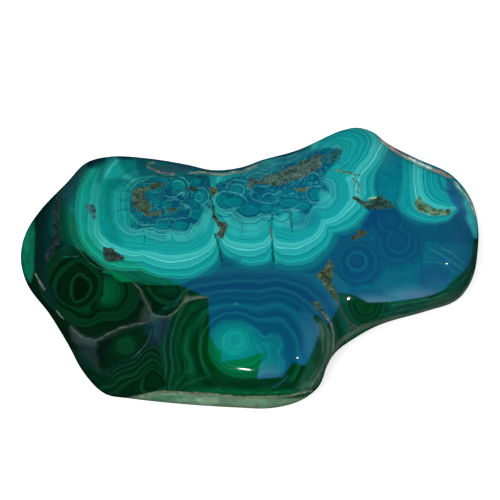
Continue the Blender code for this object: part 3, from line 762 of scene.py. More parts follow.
    ((134, 143, 123), 0.5, 0.8, stroke(0.4, (150, 393.5), (200, 394.5), (240, 397), (280, 397),
        (305, 392))),
    ((126, 104, 78), 0.6, 1.0, stroke(0.7, (150, 403.5), (190, 405.5), (240, 407.5), (262, 408))),
    ((46, 95, 62), 0.5, 1.5, ring((150, 397), (172, 397), (175, 400), (152, 401))),
    ((16, 132, 102), 0.45, 4.0, ring((82, 178), (92, 168), (104, 166), (104, 200), (100, 240),
        (90, 246), (82, 230), (79, 205))),
    ((15, 86, 55), 0.5, 0.9, stroke(0.7, (207, 304), (193, 311), (184, 322), (179.5, 338),
        (180.5, 352), (185, 364), (183, 376), (172, 388))),
    ((6, 70, 44), 0.5, 0.9, stroke(0.6, (196, 306), (182, 314), (175, 328), (171.5, 345),
        (172.5, 362), (170, 378))),
    ((8, 67, 42), 0.5, 0.9, stroke(0.5, (188, 304), (176, 313), (169, 328), (166, 345), (167, 360),
        (167, 372))),
    ((18, 84, 58), 0.5, 1.0, stroke(0.8, (209, 312), (203, 322), (200, 335), (199.5, 350),
        (203, 363), (210, 375))),
    # Painted shade: dark blue lines along the back rims
    ((5, 44, 60), 0.6, 1.2, stroke(1.0, (96, 158.5), (112, 157), (130, 156.8), (150, 158.8),
        (170, 162.2), (190, 165.8), (205, 169), (222, 170.5), (240, 168.3), (255, 163),
        (275, 157.8), (295, 152.8), (310, 147.5))),
    ((14, 50, 70), 0.6, 0.8, stroke(0.6, (388, 144.5), (400, 150.8), (410, 155.8), (420, 160.2),
        (430, 164.8), (440, 169.2), (450, 174.8), (458, 181.5))),
    ((50, 178, 158), 0.5, 3.0, ring((226, 216), (236, 222), (262, 221), (266, 230), (255, 236),
        (235, 236), (225, 228))),
    ((50, 178, 158), 0.5, 2.0, ring((274, 218), (289, 217), (289, 228), (276, 226))),
    ((50, 178, 158), 0.5, 2.0, ring((320, 190), (328, 193), (333, 203), (327, 208), (319, 202))),
    ((50, 178, 158), 0.5, 2.5, ring((168, 232), (186, 231), (198, 223), (206, 209), (211, 218),
        (206, 231), (190, 240), (170, 240))),
    ((8, 84, 84), 0.4, 3.0, ring((300, 212), (317, 212), (321, 222), (310, 227), (300, 222))),
    ((6, 92, 66), 0.45, 2.0, stroke(1.2, (112, 186), (108, 200), (109, 216), (114, 230))),
    ((6, 100, 84), 0.8, 2.0, stroke(3.5, (113, 157), (107, 164), (102, 172), (99, 180))),
    ((6, 70, 72), 0.7, 0.9, stroke(0.5, (119, 199), (128, 199))),
    ((6, 70, 72), 0.7, 0.9, stroke(0.5, (119, 209.5), (128, 209))),
    ((6, 70, 72), 0.6, 1.2, stroke(0.6, (117, 182), (125, 187), (133, 191))),
    ((5, 26, 34), 0.75, 3.0, ring((367, 208), (384, 208), (381, 214), (374, 224), (366, 228),
        (361, 226), (366, 218), (370, 212))),
    ((20, 132, 124), 0.5, 0.8, stroke(0.45, (247, 326), (254, 329), (259, 331.5), (263, 337),
        (267, 337), (271, 333.5), (277, 334), (281, 339), (281, 346), (278, 351), (280, 357),
        (284, 364), (283, 371), (277, 376))),
    ((26, 142, 128), 0.45, 0.8, stroke(0.45, (257, 348), (263, 343), (267, 345), (267, 350),
        (271, 355), (277, 360), (279, 368), (276, 374))),
    ((28, 152, 130), 0.5, 0.9, stroke(0.5, (242, 337), (237, 333), (231, 335), (229.5, 341),
        (233, 346.5), (240, 346), (242.5, 341), (242, 337))),
    ((26, 150, 128), 0.45, 1.0, stroke(0.5, (247, 333), (241, 329), (232, 329.5), (225, 335),
        (223, 343), (227, 351), (236, 354), (245, 351), (249, 343), (247, 333))),
    # Painted reflection of the sky: a faint pale blue streak near the front rim
    ((40, 92, 112), 0.5, 1.0, stroke(0.7, (274, 386.5), (281, 383), (288, 376))),
    ((2, 26, 16), 0.85, 1.5, ring((152, 300), (158, 307), (168, 309.5), (178, 305), (184, 300),
        (177, 310), (169, 316), (158, 316), (151, 311))),
    ((2, 34, 20), 0.6, 2.0, ring((136, 282), (146, 284), (148, 296), (142, 292))),
    ((2, 50, 30), 0.5, 1.5, stroke(1.0, (130, 272), (145, 280), (160, 285), (176, 288))),
    ((0, 44, 22), 0.35, 3.0, ring((343, 304), (388, 303), (385, 319), (352, 325))),
    ((3, 42, 26), 0.6, 3.0, ring((181, 372), (205, 376), (214, 385), (190, 389), (172, 390),
        (177, 380))),
    ((14, 80, 50), 0.55, 1.2, stroke(0.9, (209, 376), (200, 379), (190, 382.5), (180, 388))),
    ((12, 74, 46), 0.6, 1.5, stroke(1.2, (191, 361), (190, 368), (184, 375.5), (178, 383),
        (174, 389))),
    ((10, 66, 40), 0.5, 1.0, stroke(0.7, (176, 360), (177, 367), (173, 377), (171, 383))),
    # Painted reflection of a pale floor: a lighter patch in the front rim's band
    ((128, 160, 130), 0.6, 1.5, ring((198, 398), (214, 398), (218, 402), (208, 405), (198, 402))),
    ((40, 96, 66), 0.6, 1.5, ring((164, 395.5), (184, 395.5), (182, 398), (166, 398))),
    ((62, 90, 66), 0.6, 1.0, stroke(0.5, (185, 394.5), (190, 397.5), (197, 395))),
    ((5, 54, 34), 0.9, 1.5, ring((396, 212), (404, 218), (414, 222.5), (430, 225), (445, 223.5),
        (455, 216), (462, 212), (464, 224), (458, 236), (430, 240), (408, 234), (404, 224))),
    ((122, 104, 78), 0.5, 0.9, stroke(0.4, (198, 393), (206, 396.5), (212, 399.5), (219, 402))),
]

# Where the crusts' small curls lie
CURLS = [
    LEFT_CRUST, MIDDLE_CRUST, discs((283, 210, 8.5), (275, 209, 7), (304, 206, 8)),
    discs((314, 194, 8.5), (322, 190, 6)),
    ring((216, 186), (226, 180), (246, 172), (262, 166), (285, 162), (300, 156), (318, 149),
        (340, 149), (339, 160), (331, 168), (325, 178), (325, 190), (319, 202), (308, 208),
        (300, 206), (300, 190), (262, 186), (240, 195), (225, 198)),
    ring((150, 178), (175, 175), (205, 175), (211, 184), (208, 202), (180, 192), (150, 188)),
]

# The plain round growths among the curls
GROWTHS = [
    discs((161.5, 226, 7.5, 4), (180, 225.5, 9, 4), (136, 223, 4, 6), (196, 214, 7, 5.5),
        (200.5, 197, 7.5, 7), (178, 185, 7, 6), (197, 181, 4, 3.5), (204, 208, 4, 5)),
    discs((233, 202, 9, 5), (222, 200, 5, 6), (249, 210, 10.5, 5.5), (314.5, 194.5, 6, 6),
        (289, 203, 10, 4.5), (266, 208, 6, 4), (237, 190, 4.5, 4.5), (312, 178.5, 3, 3),
        (278, 210, 6, 4), (304, 206, 6, 4)),
]
# Thin pale lines round the growths
THREADS = [
    stroke(0.35, (131, 213), (134, 219), (140, 224), (148, 224.5), (155, 225), (158, 221),
        (164, 219.5), (170, 218.5), (176, 219), (182, 217), (188, 218), (191, 213), (190, 208),
        (185, 205)),
    stroke(0.4, (133, 229), (137, 230.5), (142, 229), (152, 228), (156, 230), (162, 231),
        (168, 230), (172, 231), (178, 232), (186, 231.5), (190, 227), (196, 224), (200, 219),
        (203, 215), (205, 209), (203, 206)),
    stroke(0.3, (136, 233), (144, 234), (149, 231.5), (155, 234), (162, 235), (168, 234),
        (171, 232), (175, 235.5), (182, 236), (190, 234), (194, 230), (201, 225)),
    stroke(0.3, (170, 178), (180, 177), (186, 180), (189, 186), (186, 191), (180, 193)),
    stroke(0.25, (172, 181.5), (179, 181), (184, 185), (183, 190)),
    stroke(0.3, (191, 197), (193, 191), (199, 188), (206, 190), (209, 196), (207, 202),
        (201, 205)),
    stroke(0.25, (195, 196), (198, 193), (202, 195), (202, 199), (198, 201), (195, 199)),
    stroke(0.25, (165, 203), (168, 200), (172, 201), (176, 199), (180, 202), (184, 204),
        (187, 208)),
    stroke(0.25, (158, 197), (166, 196), (172, 198), (178, 196), (184, 193), (188, 196)),
    stroke(0.3, (206, 206), (209, 212), (207, 219), (202, 223)),
    stroke(0.4, (214, 206), (214.5, 199), (218, 193.5), (226, 191.5), (236, 193), (243, 196),
        (247, 201)),
    stroke(0.4, (215, 209), (219, 213), (226, 214.5), (232, 211), (235, 208), (237, 213),
        (242, 217.5), (249, 219), (256, 218), (261, 214), (265, 216.5), (270, 216), (272.5, 212.5),
        (275, 216), (281, 218), (287, 216), (291, 211), (300, 210)),
    stroke(0.25, (216, 203), (218, 207), (224, 209.5), (232, 208.5), (240, 207)),
    stroke(0.3, (274, 207), (280, 210), (288, 210), (295, 208), (301, 203), (302, 199)),
    stroke(0.35, (306, 194), (308, 188.5), (314, 186), (320.5, 188), (323.5, 194), (321, 200.5),
        (314.5, 203), (308.5, 200), (306, 194)),
    stroke(0.3, (231, 190), (233, 185.5), (238, 184), (243, 187), (244, 192), (240, 196)),
    stroke(0.25, (226, 188), (229, 182.5), (236, 180), (245, 182), (249, 188)),
    stroke(0.25, (246, 188), (252, 190), (251, 196), (256, 200), (262, 202), (270, 203),
        (280, 200)),
    stroke(0.25, (262, 196), (268, 193), (275, 195), (281, 192), (288, 195), (294, 193)),
    stroke(0.3, (300, 182), (304, 176), (311, 173), (318, 175), (321, 181)),
    stroke(0.3, (243, 176), (249, 170.5), (257, 168), (265, 170), (271, 166), (279, 163.5),
        (287, 164), (293, 160), (300, 157)),
    stroke(0.25, (247, 178), (253, 174), (260, 172.5), (267, 174), (273, 170)),
    stroke(0.25, (262, 163), (270, 161), (278, 158.5), (288, 157), (297, 153.5)),
    stroke(0.3, (319, 152), (324, 145.5), (333, 143.5), (341, 147), (342, 155), (335, 163)),
    stroke(0.3, (325, 166), (327, 172), (323, 179), (327, 186), (333, 189)),
]
# Thin dark cracks and scallops in the fans
CRACKS = [
    stroke(0.3, (171, 230), (172, 236), (173, 244)),
    stroke(0.3, (143, 229), (145, 237), (144, 247)),
    stroke(0.3, (117, 192), (124, 191), (131, 192)),
    stroke(0.3, (117, 211), (124, 210.5), (131, 209)), stroke(0.25, (119, 201), (131, 200)),
    stroke(0.3, (190, 228), (196, 233), (201, 241)),
    stroke(0.35, (214, 208), (218, 215), (226, 217.5), (233, 214.5), (236, 217), (242, 222),
        (250, 224), (258, 222), (263, 218), (266, 220.5), (270, 220.5), (273, 217), (279, 222),
        (287, 220.5), (291, 215)), stroke(0.25, (262, 219), (265, 227), (266, 233)),
    stroke(0.25, (243, 222), (242, 236)), stroke(0.25, (332, 152), (341, 165), (352, 162)),
]

# The part of the face that carries the painted reflection of an open sky, with a sharp edge
SKY_REFLECTION_EDGE = ((30, 168), (52, 180), (66, 205), (83, 230), (101, 247), (125, 257), (150, 271),
    (165, 278), (185, 287), (208, 298), (209, 315), (210, 335), (216, 347), (222, 352), (221, 362),
    (245, 358), (265, 352), (259, 368), (257, 379), (270, 378), (283, 377), (293, 362), (305, 366),
    (313, 350), (319, 335), (319, 325), (312, 318), (315, 314), (321, 317), (327, 325), (331, 321),
    (335, 314), (339, 305), (338, 293), (346, 293), (355, 295.5), (362, 299), (368, 302.5),
    (385, 302), (405, 300), (420, 297.8), (432, 295), (440, 292), (446, 288), (452, 281),
    (460, 274), (466, 269), (471, 260), (474, 240), (500, 235), (500, 60), (30, 60))

# Where the painted sky reflection pales towards its edge: column, row, reach along each, share
PALE_SKY_REFLECTION = [
    (376, 302, 30, 6, 0.8), (415, 296, 26, 7, 0.8), (266, 373, 14, 8, 0.35),
    (455, 235, 14, 30, 0.03), (466, 200, 8, 25, 0.17), (384, 150, 10, 14, 0.3),
    (314, 340, 9, 22, 0.25), (436, 284, 14, 8, 0.1),
]


SKY_THIN, SKY_GAIN = 0.42, 0.58         # the painted sky reflection's strength at the left, and what it gains
SKY_ACROSS = (0.8, 100, 330)            # share, start and run of that gain along the columns
SKY_FORWARD = (0.35, 150, 130)          # and along the rows
SKY_CORNER = (75.0, 125.0, 0.8, 160)    # where it fades in at the far left corner


def inside_sky_reflection(at):
    """Grid steps inside the painted sky reflection's edge, and below zero outside it."""
    return np.clip(-line_distance(at, np.array(SKY_REFLECTION_EDGE, dtype=float), True),
                   -FIELD_REACH, FIELD_REACH)


def sky_reflection_paleness(at):
    """How far the painted sky reflection pales towards its edge, by place."""
    pale = np.zeros(len(at))
    for column, row, wide, deep, share in PALE_SKY_REFLECTION:
        pale = np.maximum(pale, share * np.exp(-((at[:, 0] - column) / wide) ** 2
                                               - ((at[:, 1] - row) / deep) ** 2))
    return pale


def sky_reflection_share(at):
    """How strong the painted sky reflection is, by place: it thins to the left and the back."""
    column, row = at[:, 0], at[:, 1]
    share, start, run = SKY_ACROSS
    forward_share, forward_start, forward_run = SKY_FORWARD
    rise = smooth_step(0.0, 1.0, share * (column - start) / run
                       + forward_share * (row - forward_start) / forward_run)
    low, high, slant, corner_row = SKY_CORNER
    corner = smooth_step(low, high, column + slant * (row - corner_row))
    return (SKY_THIN + SKY_GAIN * rise) * corner


def tone(red, green, blue):
    """A colour given by its display values from 0 to 255, as the linear values a shader takes."""
    def linear(value):
        value /= 255.0
        return value / 12.92 if value <= 0.04045 else ((value + 0.055) / 1.055) ** 2.4
    return (linear(red), linear(green), linear(blue), 1.0)


# ---- grid steps: how far off a shape still counts
NEAR_ENOUGH = 16.0      # outside a fan or an eye, its bands are still worked out this far
NEAR_BROAD = 40.0       # and outside every other nest
FAR_OFF = 99.0
FIELD_REACH = 6.0       # a distance is cut off here
COVER_REACH = 8.0       # and so is how firmly a family owns the face

# ---- how the markings waver, and how they fade round the flanks
WAVE, FINE_WAVE = 9, 3.2                # grid steps to a wave
FINE_WAVE_REACH = 0.45
HIDDEN_FROM, HIDDEN_TO = 0.02, 0.45     # how far past square a flank has turned away
HIDDEN_WAVE = 14.0                      # how much more the bands waver there
HIDDEN_PUSH, HIDDEN_BY = 8.0, 0.3       # strokes and rocks are gone by this share of turning
HIDDEN_CURLS, HIDDEN_CURLS_BY = 12.0, 0.4
HIDDEN_WASH = 0.8                       # the share of the washes that is lost


def smooth_outline(points, closed=True, steps=6):
    """Points along a smooth curve through the given ones."""
    rows = np.asarray(points, dtype=float)
    count = len(rows)
    out = []
    for i in range(count if closed else count - 1):
        if closed:
            p0, p1, p2, p3 = (rows[(i + k) % count] for k in (-1, 0, 1, 2))
        else:
            p0, p1, p2, p3 = (rows[min(max(i + k, 0), count - 1)] for k in (-1, 0, 1, 2))
        for step in range(steps):
            t = step / steps
            out.append(0.5 * (2 * p1 + (p2 - p0) * t + (2 * p0 - 5 * p1 + 4 * p2 - p3) * t ** 2
                              + (3 * p1 - p0 - 3 * p2 + p3) * t ** 3))
    if not closed:
        out.append(rows[-1])
    return np.array(out)


def line_distance(at, line, closed):
    """Distance of each grid position from a polyline, negative inside a closed one."""
    starts = line if closed else line[:-1]
    ends = np.roll(line, -1, axis=0) if closed else line[1:]
    steps = ends - starts
    lengths = np.maximum((steps ** 2).sum(axis=1), 1e-12)
    out = np.empty(len(at))
    block = 8000
    for first in range(0, len(at), block):
        x = at[first:first + block, 0, None]
        y = at[first:first + block, 1, None]
        off_x, off_y = x - starts[:, 0], y - starts[:, 1]
        t = np.clip((off_x * steps[:, 0] + off_y * steps[:, 1]) / lengths, 0.0, 1.0)
        gap = np.sqrt(((off_x - t * steps[:, 0]) ** 2
                       + (off_y - t * steps[:, 1]) ** 2).min(axis=1))
        if closed:
            rise = np.where(np.abs(steps[:, 1]) < 1e-9, 1e-9, steps[:, 1])
            crossed = (((starts[:, 1] > y) != (ends[:, 1] > y))
                       & (x < steps[:, 0] * off_y / rise + starts[:, 0]))
            gap = np.where(crossed.sum(axis=1) % 2 == 1, -gap, gap)
        out[first:first + block] = gap
    return out


def shape_distance(at, shape):
    """Distance of each grid position from a shape's outline, negative inside it."""
    kind, parts = shape
    if kind == "ring":
        return line_distance(at, smooth_outline(parts), True)
    if kind == "stroke":
        return line_distance(at, smooth_outline(parts[1:], closed=False), False) - parts[0]
    if kind == "both":
        return np.min([shape_distance(at, part) for part in parts], axis=0)
    best = np.full(len(at), 1e9)
    for row in parts:
        x, y, wide = row[:3]
        deep = row[3] if len(row) > 3 else wide
        off = (at - (x, y)) / (wide, deep)
        reach = np.sqrt((off ** 2).sum(axis=1))
        slope = np.sqrt(((off / (wide, deep)) ** 2).sum(axis=1))
        gap = np.where(reach > 1e-6, reach * (reach - 1.0) / np.maximum(slope, 1e-9),
                       -min(wide, deep))
        best = np.minimum(best, np.maximum(gap, -min(wide, deep)))
    return best


def shape_box(shape):
    """The lowest and the highest column and row that a shape reaches."""
    kind, parts = shape
    if kind == "both":
        boxes = [shape_box(part) for part in parts]
        return np.min([b[0] for b in boxes], axis=0), np.max([b[1] for b in boxes], axis=0)
    if kind != "discs":
        wide = parts[0] if kind == "stroke" else 0.0
        rows = np.asarray(parts[1:] if kind == "stroke" else parts, dtype=float)
        return rows.min(axis=0) - wide, rows.max(axis=0) + wide
    low = [(row[0] - row[2], row[1] - row[-1 if len(row) > 3 else 2]) for row in parts]
    high = [(row[0] + row[2], row[1] + row[-1 if len(row) > 3 else 2]) for row in parts]
    return np.min(low, axis=0), np.max(high, axis=0)


def lattice_noise(x, y, seed):
    """Smooth value noise between 0 and 1, the same for the same place and seed."""
    cell_x, cell_y = np.floor(x).astype(np.int64), np.floor(y).astype(np.int64)
    part_x, part_y = x - cell_x, y - cell_y
    part_x = part_x * part_x * (3 - 2 * part_x)
    part_y = part_y * part_y * (3 - 2 * part_y)

    def corner(i, j):
        mixed = (i * 374761393 + j * 668265263 + seed * 1442695041) & 0xFFFFFFFF
        mixed = ((mixed ^ (mixed >> 13)) * 1274126177) & 0xFFFFFFFF
        return ((mixed ^ (mixed >> 16)) & 0xFFFF) / 65535.0

    near = corner(cell_x, cell_y) * (1 - part_x) + corner(cell_x + 1, cell_y) * part_x
    far = corner(cell_x, cell_y + 1) * (1 - part_x) + corner(cell_x + 1, cell_y + 1) * part_x
    return near * (1 - part_y) + far * part_y


def layered_noise(x, y, seed, layers=3):
    """Value noise at several scales, between -1 and 1."""
    total, weight, out = 0.0, 1.0, 0.0
    for layer in range(layers):
        out = out + weight * lattice_noise(x * 2 ** layer + 17.3 * layer,
                                           y * 2 ** layer - 9.1 * layer, seed + layer)
        total += weight
        weight /= 2
    return out / total * 2 - 1


def near_mask(at, shape, margin):
    """True for the grid positions within a margin of a shape's box."""
    low, high = shape_box(shape)
    return ((at > low - margin) & (at < high + margin)).all(axis=1)


def nest_levels(at, one):
    """The band level at each position, counted through the nest's outlines, and its reach."""
    gaps = [shape_distance(at, shape) for shape in one["shapes"]]
    levels, fade = one["levels"], one["fade"]
    level = np.where(gaps[0] < 0, levels[0] + gaps[0] / fade, np.nan)
    for i in range(len(gaps) - 1):
        inner, outer = np.maximum(gaps[i], 0.0), np.abs(gaps[i + 1])
        share = inner / (inner + outer + 1e-9)
        here = np.isnan(level) & (gaps[i + 1] < 0)
        level = np.where(here, levels[i] + (levels[i + 1] - levels[i]) * share, level)
    outside = levels[-1] + np.maximum(gaps[-1], 0.0) / fade
    return np.where(np.isnan(level), outside, level), gaps[-1] - one["edge"], gaps[0]


def band_fields(at):
    """For each family, the band level and how firmly the family owns each grid position."""
    level, reach = {}, {}
    for nests in (FANS, EYES, GREAT_EYE, DARK_BANDS, LOWER_LEFT):
        family = nests[0]["family"]
        best_level = np.full(len(at), FAR_OFF)
        best_reach = np.full(len(at), FAR_OFF)
        margin = NEAR_ENOUGH if family in ("fan", "eye") else NEAR_BROAD
        for one in nests:
            near = near_mask(at, one["shapes"][-1], margin)
            found, outer, inner = nest_levels(at[near], one)
            own = inner - one["edge"] if family == "eye" else outer
            if family == "fan":
                better = found < best_level[near]
            else:
                better = (own < best_reach[near]) | (one["over"] & (own < 0))
            rows = np.flatnonzero(near)
            best_level[rows[better]] = found[better]
            if family == "fan":
                best_reach[rows] = np.minimum(best_reach[rows], own)
            else:
                best_reach[rows[better]] = own[better]
        level[family], reach[family] = best_level, best_reach
    cover = {}
    for family in reach:
        others = np.min([reach[other] for other in reach if other != family], axis=0)
        cover[family] = np.clip(others - reach[family], -COVER_REACH, COVER_REACH)
    return level, cover


def toned_field(at, rows, width_of, distance_of):
    """The least signed distance to any of the rows, and the colour of the nearest one."""
    best = np.full(len(at), FAR_OFF)
    shade = np.zeros((len(at), 3))
    for row in rows:
        low, high = width_of(row)
        near = np.flatnonzero(((at > low - FIELD_REACH)
                               & (at < high + FIELD_REACH)).all(axis=1))
        gap = distance_of(at[near], row)
        better = gap < best[near]
        best[near[better]] = gap[better]
        shade[near[better]] = tone(*row[0])[:3]
    return np.minimum(best, FIELD_REACH), shade


def washed(at):
    """The colour and strength of all washes together, later ones over earlier ones."""
    shade = np.zeros((len(at), 3))
    weight = np.zeros(len(at))
    for colour, strength, soft, shape in WASHES:
        low, high = shape_box(shape)
        near = np.flatnonzero(((at > low - soft) & (at < high + soft)).all(axis=1))
        over = strength * (1.0 - smooth_step(-soft, soft, shape_distance(at[near], shape)))
        kept = weight[near] * (1.0 - over)
        total = np.maximum(kept + over, 1e-6)
        shade[near] = (shade[near] * kept[:, None]
                       + np.array(tone(*colour)[:3]) * over[:, None]) / total[:, None]
        weight[near] = kept + over
    return shade, weight


def least_distance(at, shapes, far=FIELD_REACH):
    """Signed distance to the nearest of several shapes, cut off at some distance."""
    best = np.full(len(at), far)
    for shape in shapes:
        low, high = shape_box(shape)
        near = np.flatnonzero(((at > low - far) & (at < high + far)).all(axis=1))
        best[near] = np.minimum(best[near], shape_distance(at[near], shape))
    return best


def vein_box(row):
    """The lowest and the highest column and row of a vein's line, or of a painted highlight's
    line.
    """
    points = np.asarray(row[2], dtype=float)
    return points.min(axis=0), points.max(axis=0)


def turned_away(points, normals):
    """0 where a point is open to the point the grid is drawn from, 1 well round the flanks."""
    sight = grid_origin() - points
    sight /= np.linalg.norm(sight, axis=1)[:, None]
    return smooth_step(HIDDEN_FROM, HIDDEN_TO, -(sight * normals).sum(axis=1))


def markings(points, normals):
    """Every marking field at points in millimetres, by attribute name."""
    at = grid_position(points)
    column, row = at[:, 0], at[:, 1]
    hidden = turned_away(points, normals)
    warp = 1.0 + HIDDEN_WAVE * hidden
    at = at + np.column_stack([
        layered_noise(column / WAVE, row / WAVE, seed) * warp
        + layered_noise(column / FINE_WAVE, row / FINE_WAVE, fine_seed, 2) * FINE_WAVE_REACH
        for seed, fine_seed in ((1, 5), (2, 6))])
    level, cover = band_fields(at)
    fields = {f"level_{family}": level[family] for family in level}
    fields.update({f"cover_{family}": cover[family] for family in cover})
    fields["inclusion"], fields["inclusion_colour"] = toned_field(
        at, INCLUSIONS, lambda r: shape_box(r[1]), lambda a, r: shape_distance(a, r[1]))
    fields["vein_and_highlight"], fields["vein_and_highlight_colour"] = toned_field(
        at, VEINS_AND_HIGHLIGHTS, vein_box,
        lambda a, r: line_distance(a, smooth_outline(r[2], closed=False), False) - r[1])
    fields["curls"] = np.clip(-np.min([shape_distance(at, shape) for shape in CURLS], axis=0),
                              -FIELD_REACH, FIELD_REACH)
    fields["wash_colour"], fields["wash"] = washed(at)
    for name, shapes in (("growth", GROWTHS), ("thread", THREADS), ("crack", CRACKS)):
        fields[name] = least_distance(at, shapes)
    still = np.column_stack([column, row])
    # The painted reflection of the sky: where it lies, how strong and how pale, faded out on the
    # flanks
    fields["sky"] = inside_sky_reflection(still)
    fields["sky_reflection_share"] = sky_reflection_share(still) * (1.0 - hidden)
    fields["sky_reflection_pale"] = sky_reflection_paleness(still)
    for name in ("inclusion", "vein_and_highlight", "growth", "thread", "crack"):
        fields[name] = fields[name] + HIDDEN_PUSH * smooth_step(0.0, HIDDEN_BY, hidden)
    fields["curls"] = (fields["curls"]
                       - HIDDEN_CURLS * smooth_step(0.0, HIDDEN_CURLS_BY, hidden))
    fields["wash"] = fields["wash"] * (1.0 - HIDDEN_WASH * hidden)
    return fields


# ==== the finish ====
class Graph:
    """A short way to lay out a material's nodes."""

    def __init__(self, material):
        material.use_nodes = True
        self.tree = material.node_tree
        self.tree.nodes.clear()

    def node(self, kind, **settings):
        """A new node with its settings."""
        made = self.tree.nodes.new(kind)
        for name, value in settings.items():
            setattr(made, name, value)
        return made

    def put(self, socket, value):
        """Link an output to a socket, or set the socket's own value."""
        if isinstance(value, bpy.types.NodeSocket):
            self.tree.links.new(value, socket)
        else:
            socket.default_value = value

    def field(self, name):
        """A number kept on the mesh."""
        return self.node("ShaderNodeAttribute", attribute_name=name).outputs["Fac"]

    def shade(self, name):
        """A colour kept on the mesh."""
        return self.node("ShaderNodeAttribute", attribute_name=name).outputs["Color"]

    def math(self, operation, first, second=0.0, third=0.0):
        """One sum of up to three values."""
        made = self.node("ShaderNodeMath", operation=operation)
        for socket, value in zip(made.inputs, (first, second, third)):
            self.put(socket, value)
        return made.outputs[0]

    def spread(self, value, low, high, to_low=0.0, to_high=1.0, smooth=False):
        """A range of values carried to another and held inside it."""
        made = self.node("ShaderNodeMapRange", clamp=True,
                         interpolation_type="SMOOTHSTEP" if smooth else "LINEAR")
        for socket, item in zip(made.inputs, (value, low, high, to_low, to_high)):
            self.put(socket, item)
        return made.outputs[0]

    def ramp(self, value, stops, low, high):
        """Colours along a range of values; each stop is its value and its display colour."""
        made = self.node("ShaderNodeValToRGB")
        elements = made.color_ramp.elements
        while len(elements) > 1:
            elements.remove(elements[-1])
        for i, (at, colour) in enumerate(stops):
            position = (at - low) / (high - low)
            element = elements[0] if i == 0 else elements.new(position)
            element.position = position
            element.color = tone(*colour)
        self.put(made.inputs[0], self.spread(value, low, high))
        return made.outputs[0]

    def mix(self, share, first, second, kind="MIX"):
        """Two colours blended."""
        made = self.node("ShaderNodeMix", data_type="RGBA", blend_type=kind)
        self.put(made.inputs[0], share)
        self.put(made.inputs[6], first)
        self.put(made.inputs[7], second)
        return made.outputs[2]

    def noise(self, scale, detail, roughness, vector=None, along=None, distortion=0.0):
        """Noise through the stone, or along one value."""
        kind, socket, place = ("3D", "Vector", vector) if along is None else ("1D", "W", along)
        made = self.node("ShaderNodeTexNoise", noise_dimensions=kind)
        self.put(made.inputs[socket], place)
        made.inputs["Scale"].default_value = scale
        made.inputs["Detail"].default_value = detail
        made.inputs["Roughness"].default_value = roughness
        made.inputs["Distortion"].default_value = distortion
        return made.outputs[0]


# Band colours, from the inside of a nest outwards: level, display colour
FAN_COLOURS = [
    (0.0, (0, 86, 69)), (0.95, (0, 76, 60)), (1.0, (60, 158, 142)), (1.07, (6, 100, 82)),
    (1.18, (24, 124, 106)), (1.3, (60, 168, 152)), (1.42, (30, 140, 124)), (1.48, (14, 116, 98)),
    (1.57, (50, 162, 146)), (1.68, (34, 146, 130)), (1.84, (40, 154, 137)), (1.91, (10, 122, 104)),
    (2.0, (18, 138, 120)), (2.3, (19, 146, 128)), (2.75, (14, 147, 130)), (2.92, (16, 144, 127)),
    (3.1, (24, 156, 138)), (3.35, (48, 168, 150)), (3.6, (64, 180, 162)), (3.8, (66, 182, 163)),
    (3.97, (54, 170, 152)), (4.0, (20, 128, 112)), (4.05, (46, 166, 148)), (4.3, (32, 156, 138)),
    (4.4, (8, 124, 104)), (4.48, (16, 146, 124)), (4.75, (20, 146, 122)), (4.95, (22, 118, 98)),
    (5.07, (5, 90, 66)), (5.5, (9, 98, 78)), (5.85, (5, 80, 54)), (6.15, (5, 58, 42)),
]
EYE_COLOURS = [
    (-14.0, (6, 62, 38)), (-9.0, (6, 51, 32)), (-3.0, (5, 43, 26)), (-0.8, (6, 43, 26)),
    (0.2, (4, 71, 49)), (2.4, (5, 70, 47)), (3.6, (5, 45, 26)), (9.0, (4, 43, 24)),
    (10.2, (5, 64, 41)), (11.8, (6, 60, 39)), (12.6, (5, 47, 26)), (14.5, (5, 47, 26)),
    (16.2, (5, 66, 43)), (17.4, (5, 51, 30)), (20.0, (4, 68, 47)), (23.0, (3, 81, 60)),
    (26.0, (4, 77, 56)), (32.0, (11, 73, 55)),
]
GREAT_COLOURS = [
    (-0.8, (0, 114, 78)), (0.5, (4, 129, 89)), (0.95, (2, 124, 80)), (1.02, (0, 112, 68)),
    (1.5, (0, 104, 62)), (1.9, (0, 88, 50)), (2.0, (5, 90, 56)), (2.07, (1, 64, 30)),
    (2.3, (0, 51, 16)), (2.72, (1, 52, 20)), (2.9, (7, 80, 50)), (3.0, (7, 80, 50)),
    (3.1, (1, 51, 21)), (3.35, (0, 42, 15)), (3.6, (2, 57, 32)), (3.9, (6, 76, 49)),
    (4.1, (6, 80, 53)), (4.25, (2, 63, 38)), (4.7, (1, 42, 21)), (4.9, (1, 44, 23)),
    (5.1, (5, 64, 40)), (5.3, (4, 52, 33)), (5.6, (4, 42, 24)), (5.92, (14, 70, 47)),
    (6.05, (13, 70, 47)), (6.14, (5, 44, 28)), (6.6, (3, 37, 23)), (6.95, (14, 70, 52)),
    (7.1, (13, 66, 49)), (7.2, (7, 49, 35)), (7.6, (8, 52, 38)), (8.4, (14, 77, 61)),
]
DARK_COLOURS = [
    (-3.3, (2, 76, 46)), (-3.0, (2, 76, 46)), (-2.7, (2, 64, 37)), (-2.45, (2, 51, 29)),
    (-2.35, (3, 47, 25)), (-2.1, (2, 31, 15)), (-2.0, (3, 18, 9)), (-1.9, (2, 22, 11)),
    (-0.1, (2, 22, 11)), (-0.02, (13, 56, 35)), (0.04, (13, 56, 35)), (0.1, (2, 29, 15)),
    (0.5, (3, 31, 16)), (0.9, (2, 25, 12)), (0.97, (9, 53, 33)), (1.03, (9, 53, 33)),
    (1.1, (3, 40, 22)), (1.3, (3, 53, 31)), (1.6, (2, 40, 22)), (1.92, (5, 18, 8)),
    (2.0, (3, 31, 15)), (2.2, (2, 24, 11)), (2.4, (4, 40, 22)), (2.6, (7, 53, 31)),
    (2.75, (3, 33, 16)), (2.95, (7, 55, 33)), (3.15, (3, 36, 18)), (3.45, (5, 51, 31)),
    (3.6, (2, 33, 16)), (3.95, (8, 53, 35)), (4.08, (3, 29, 15)), (4.3, (3, 27, 15)),
]
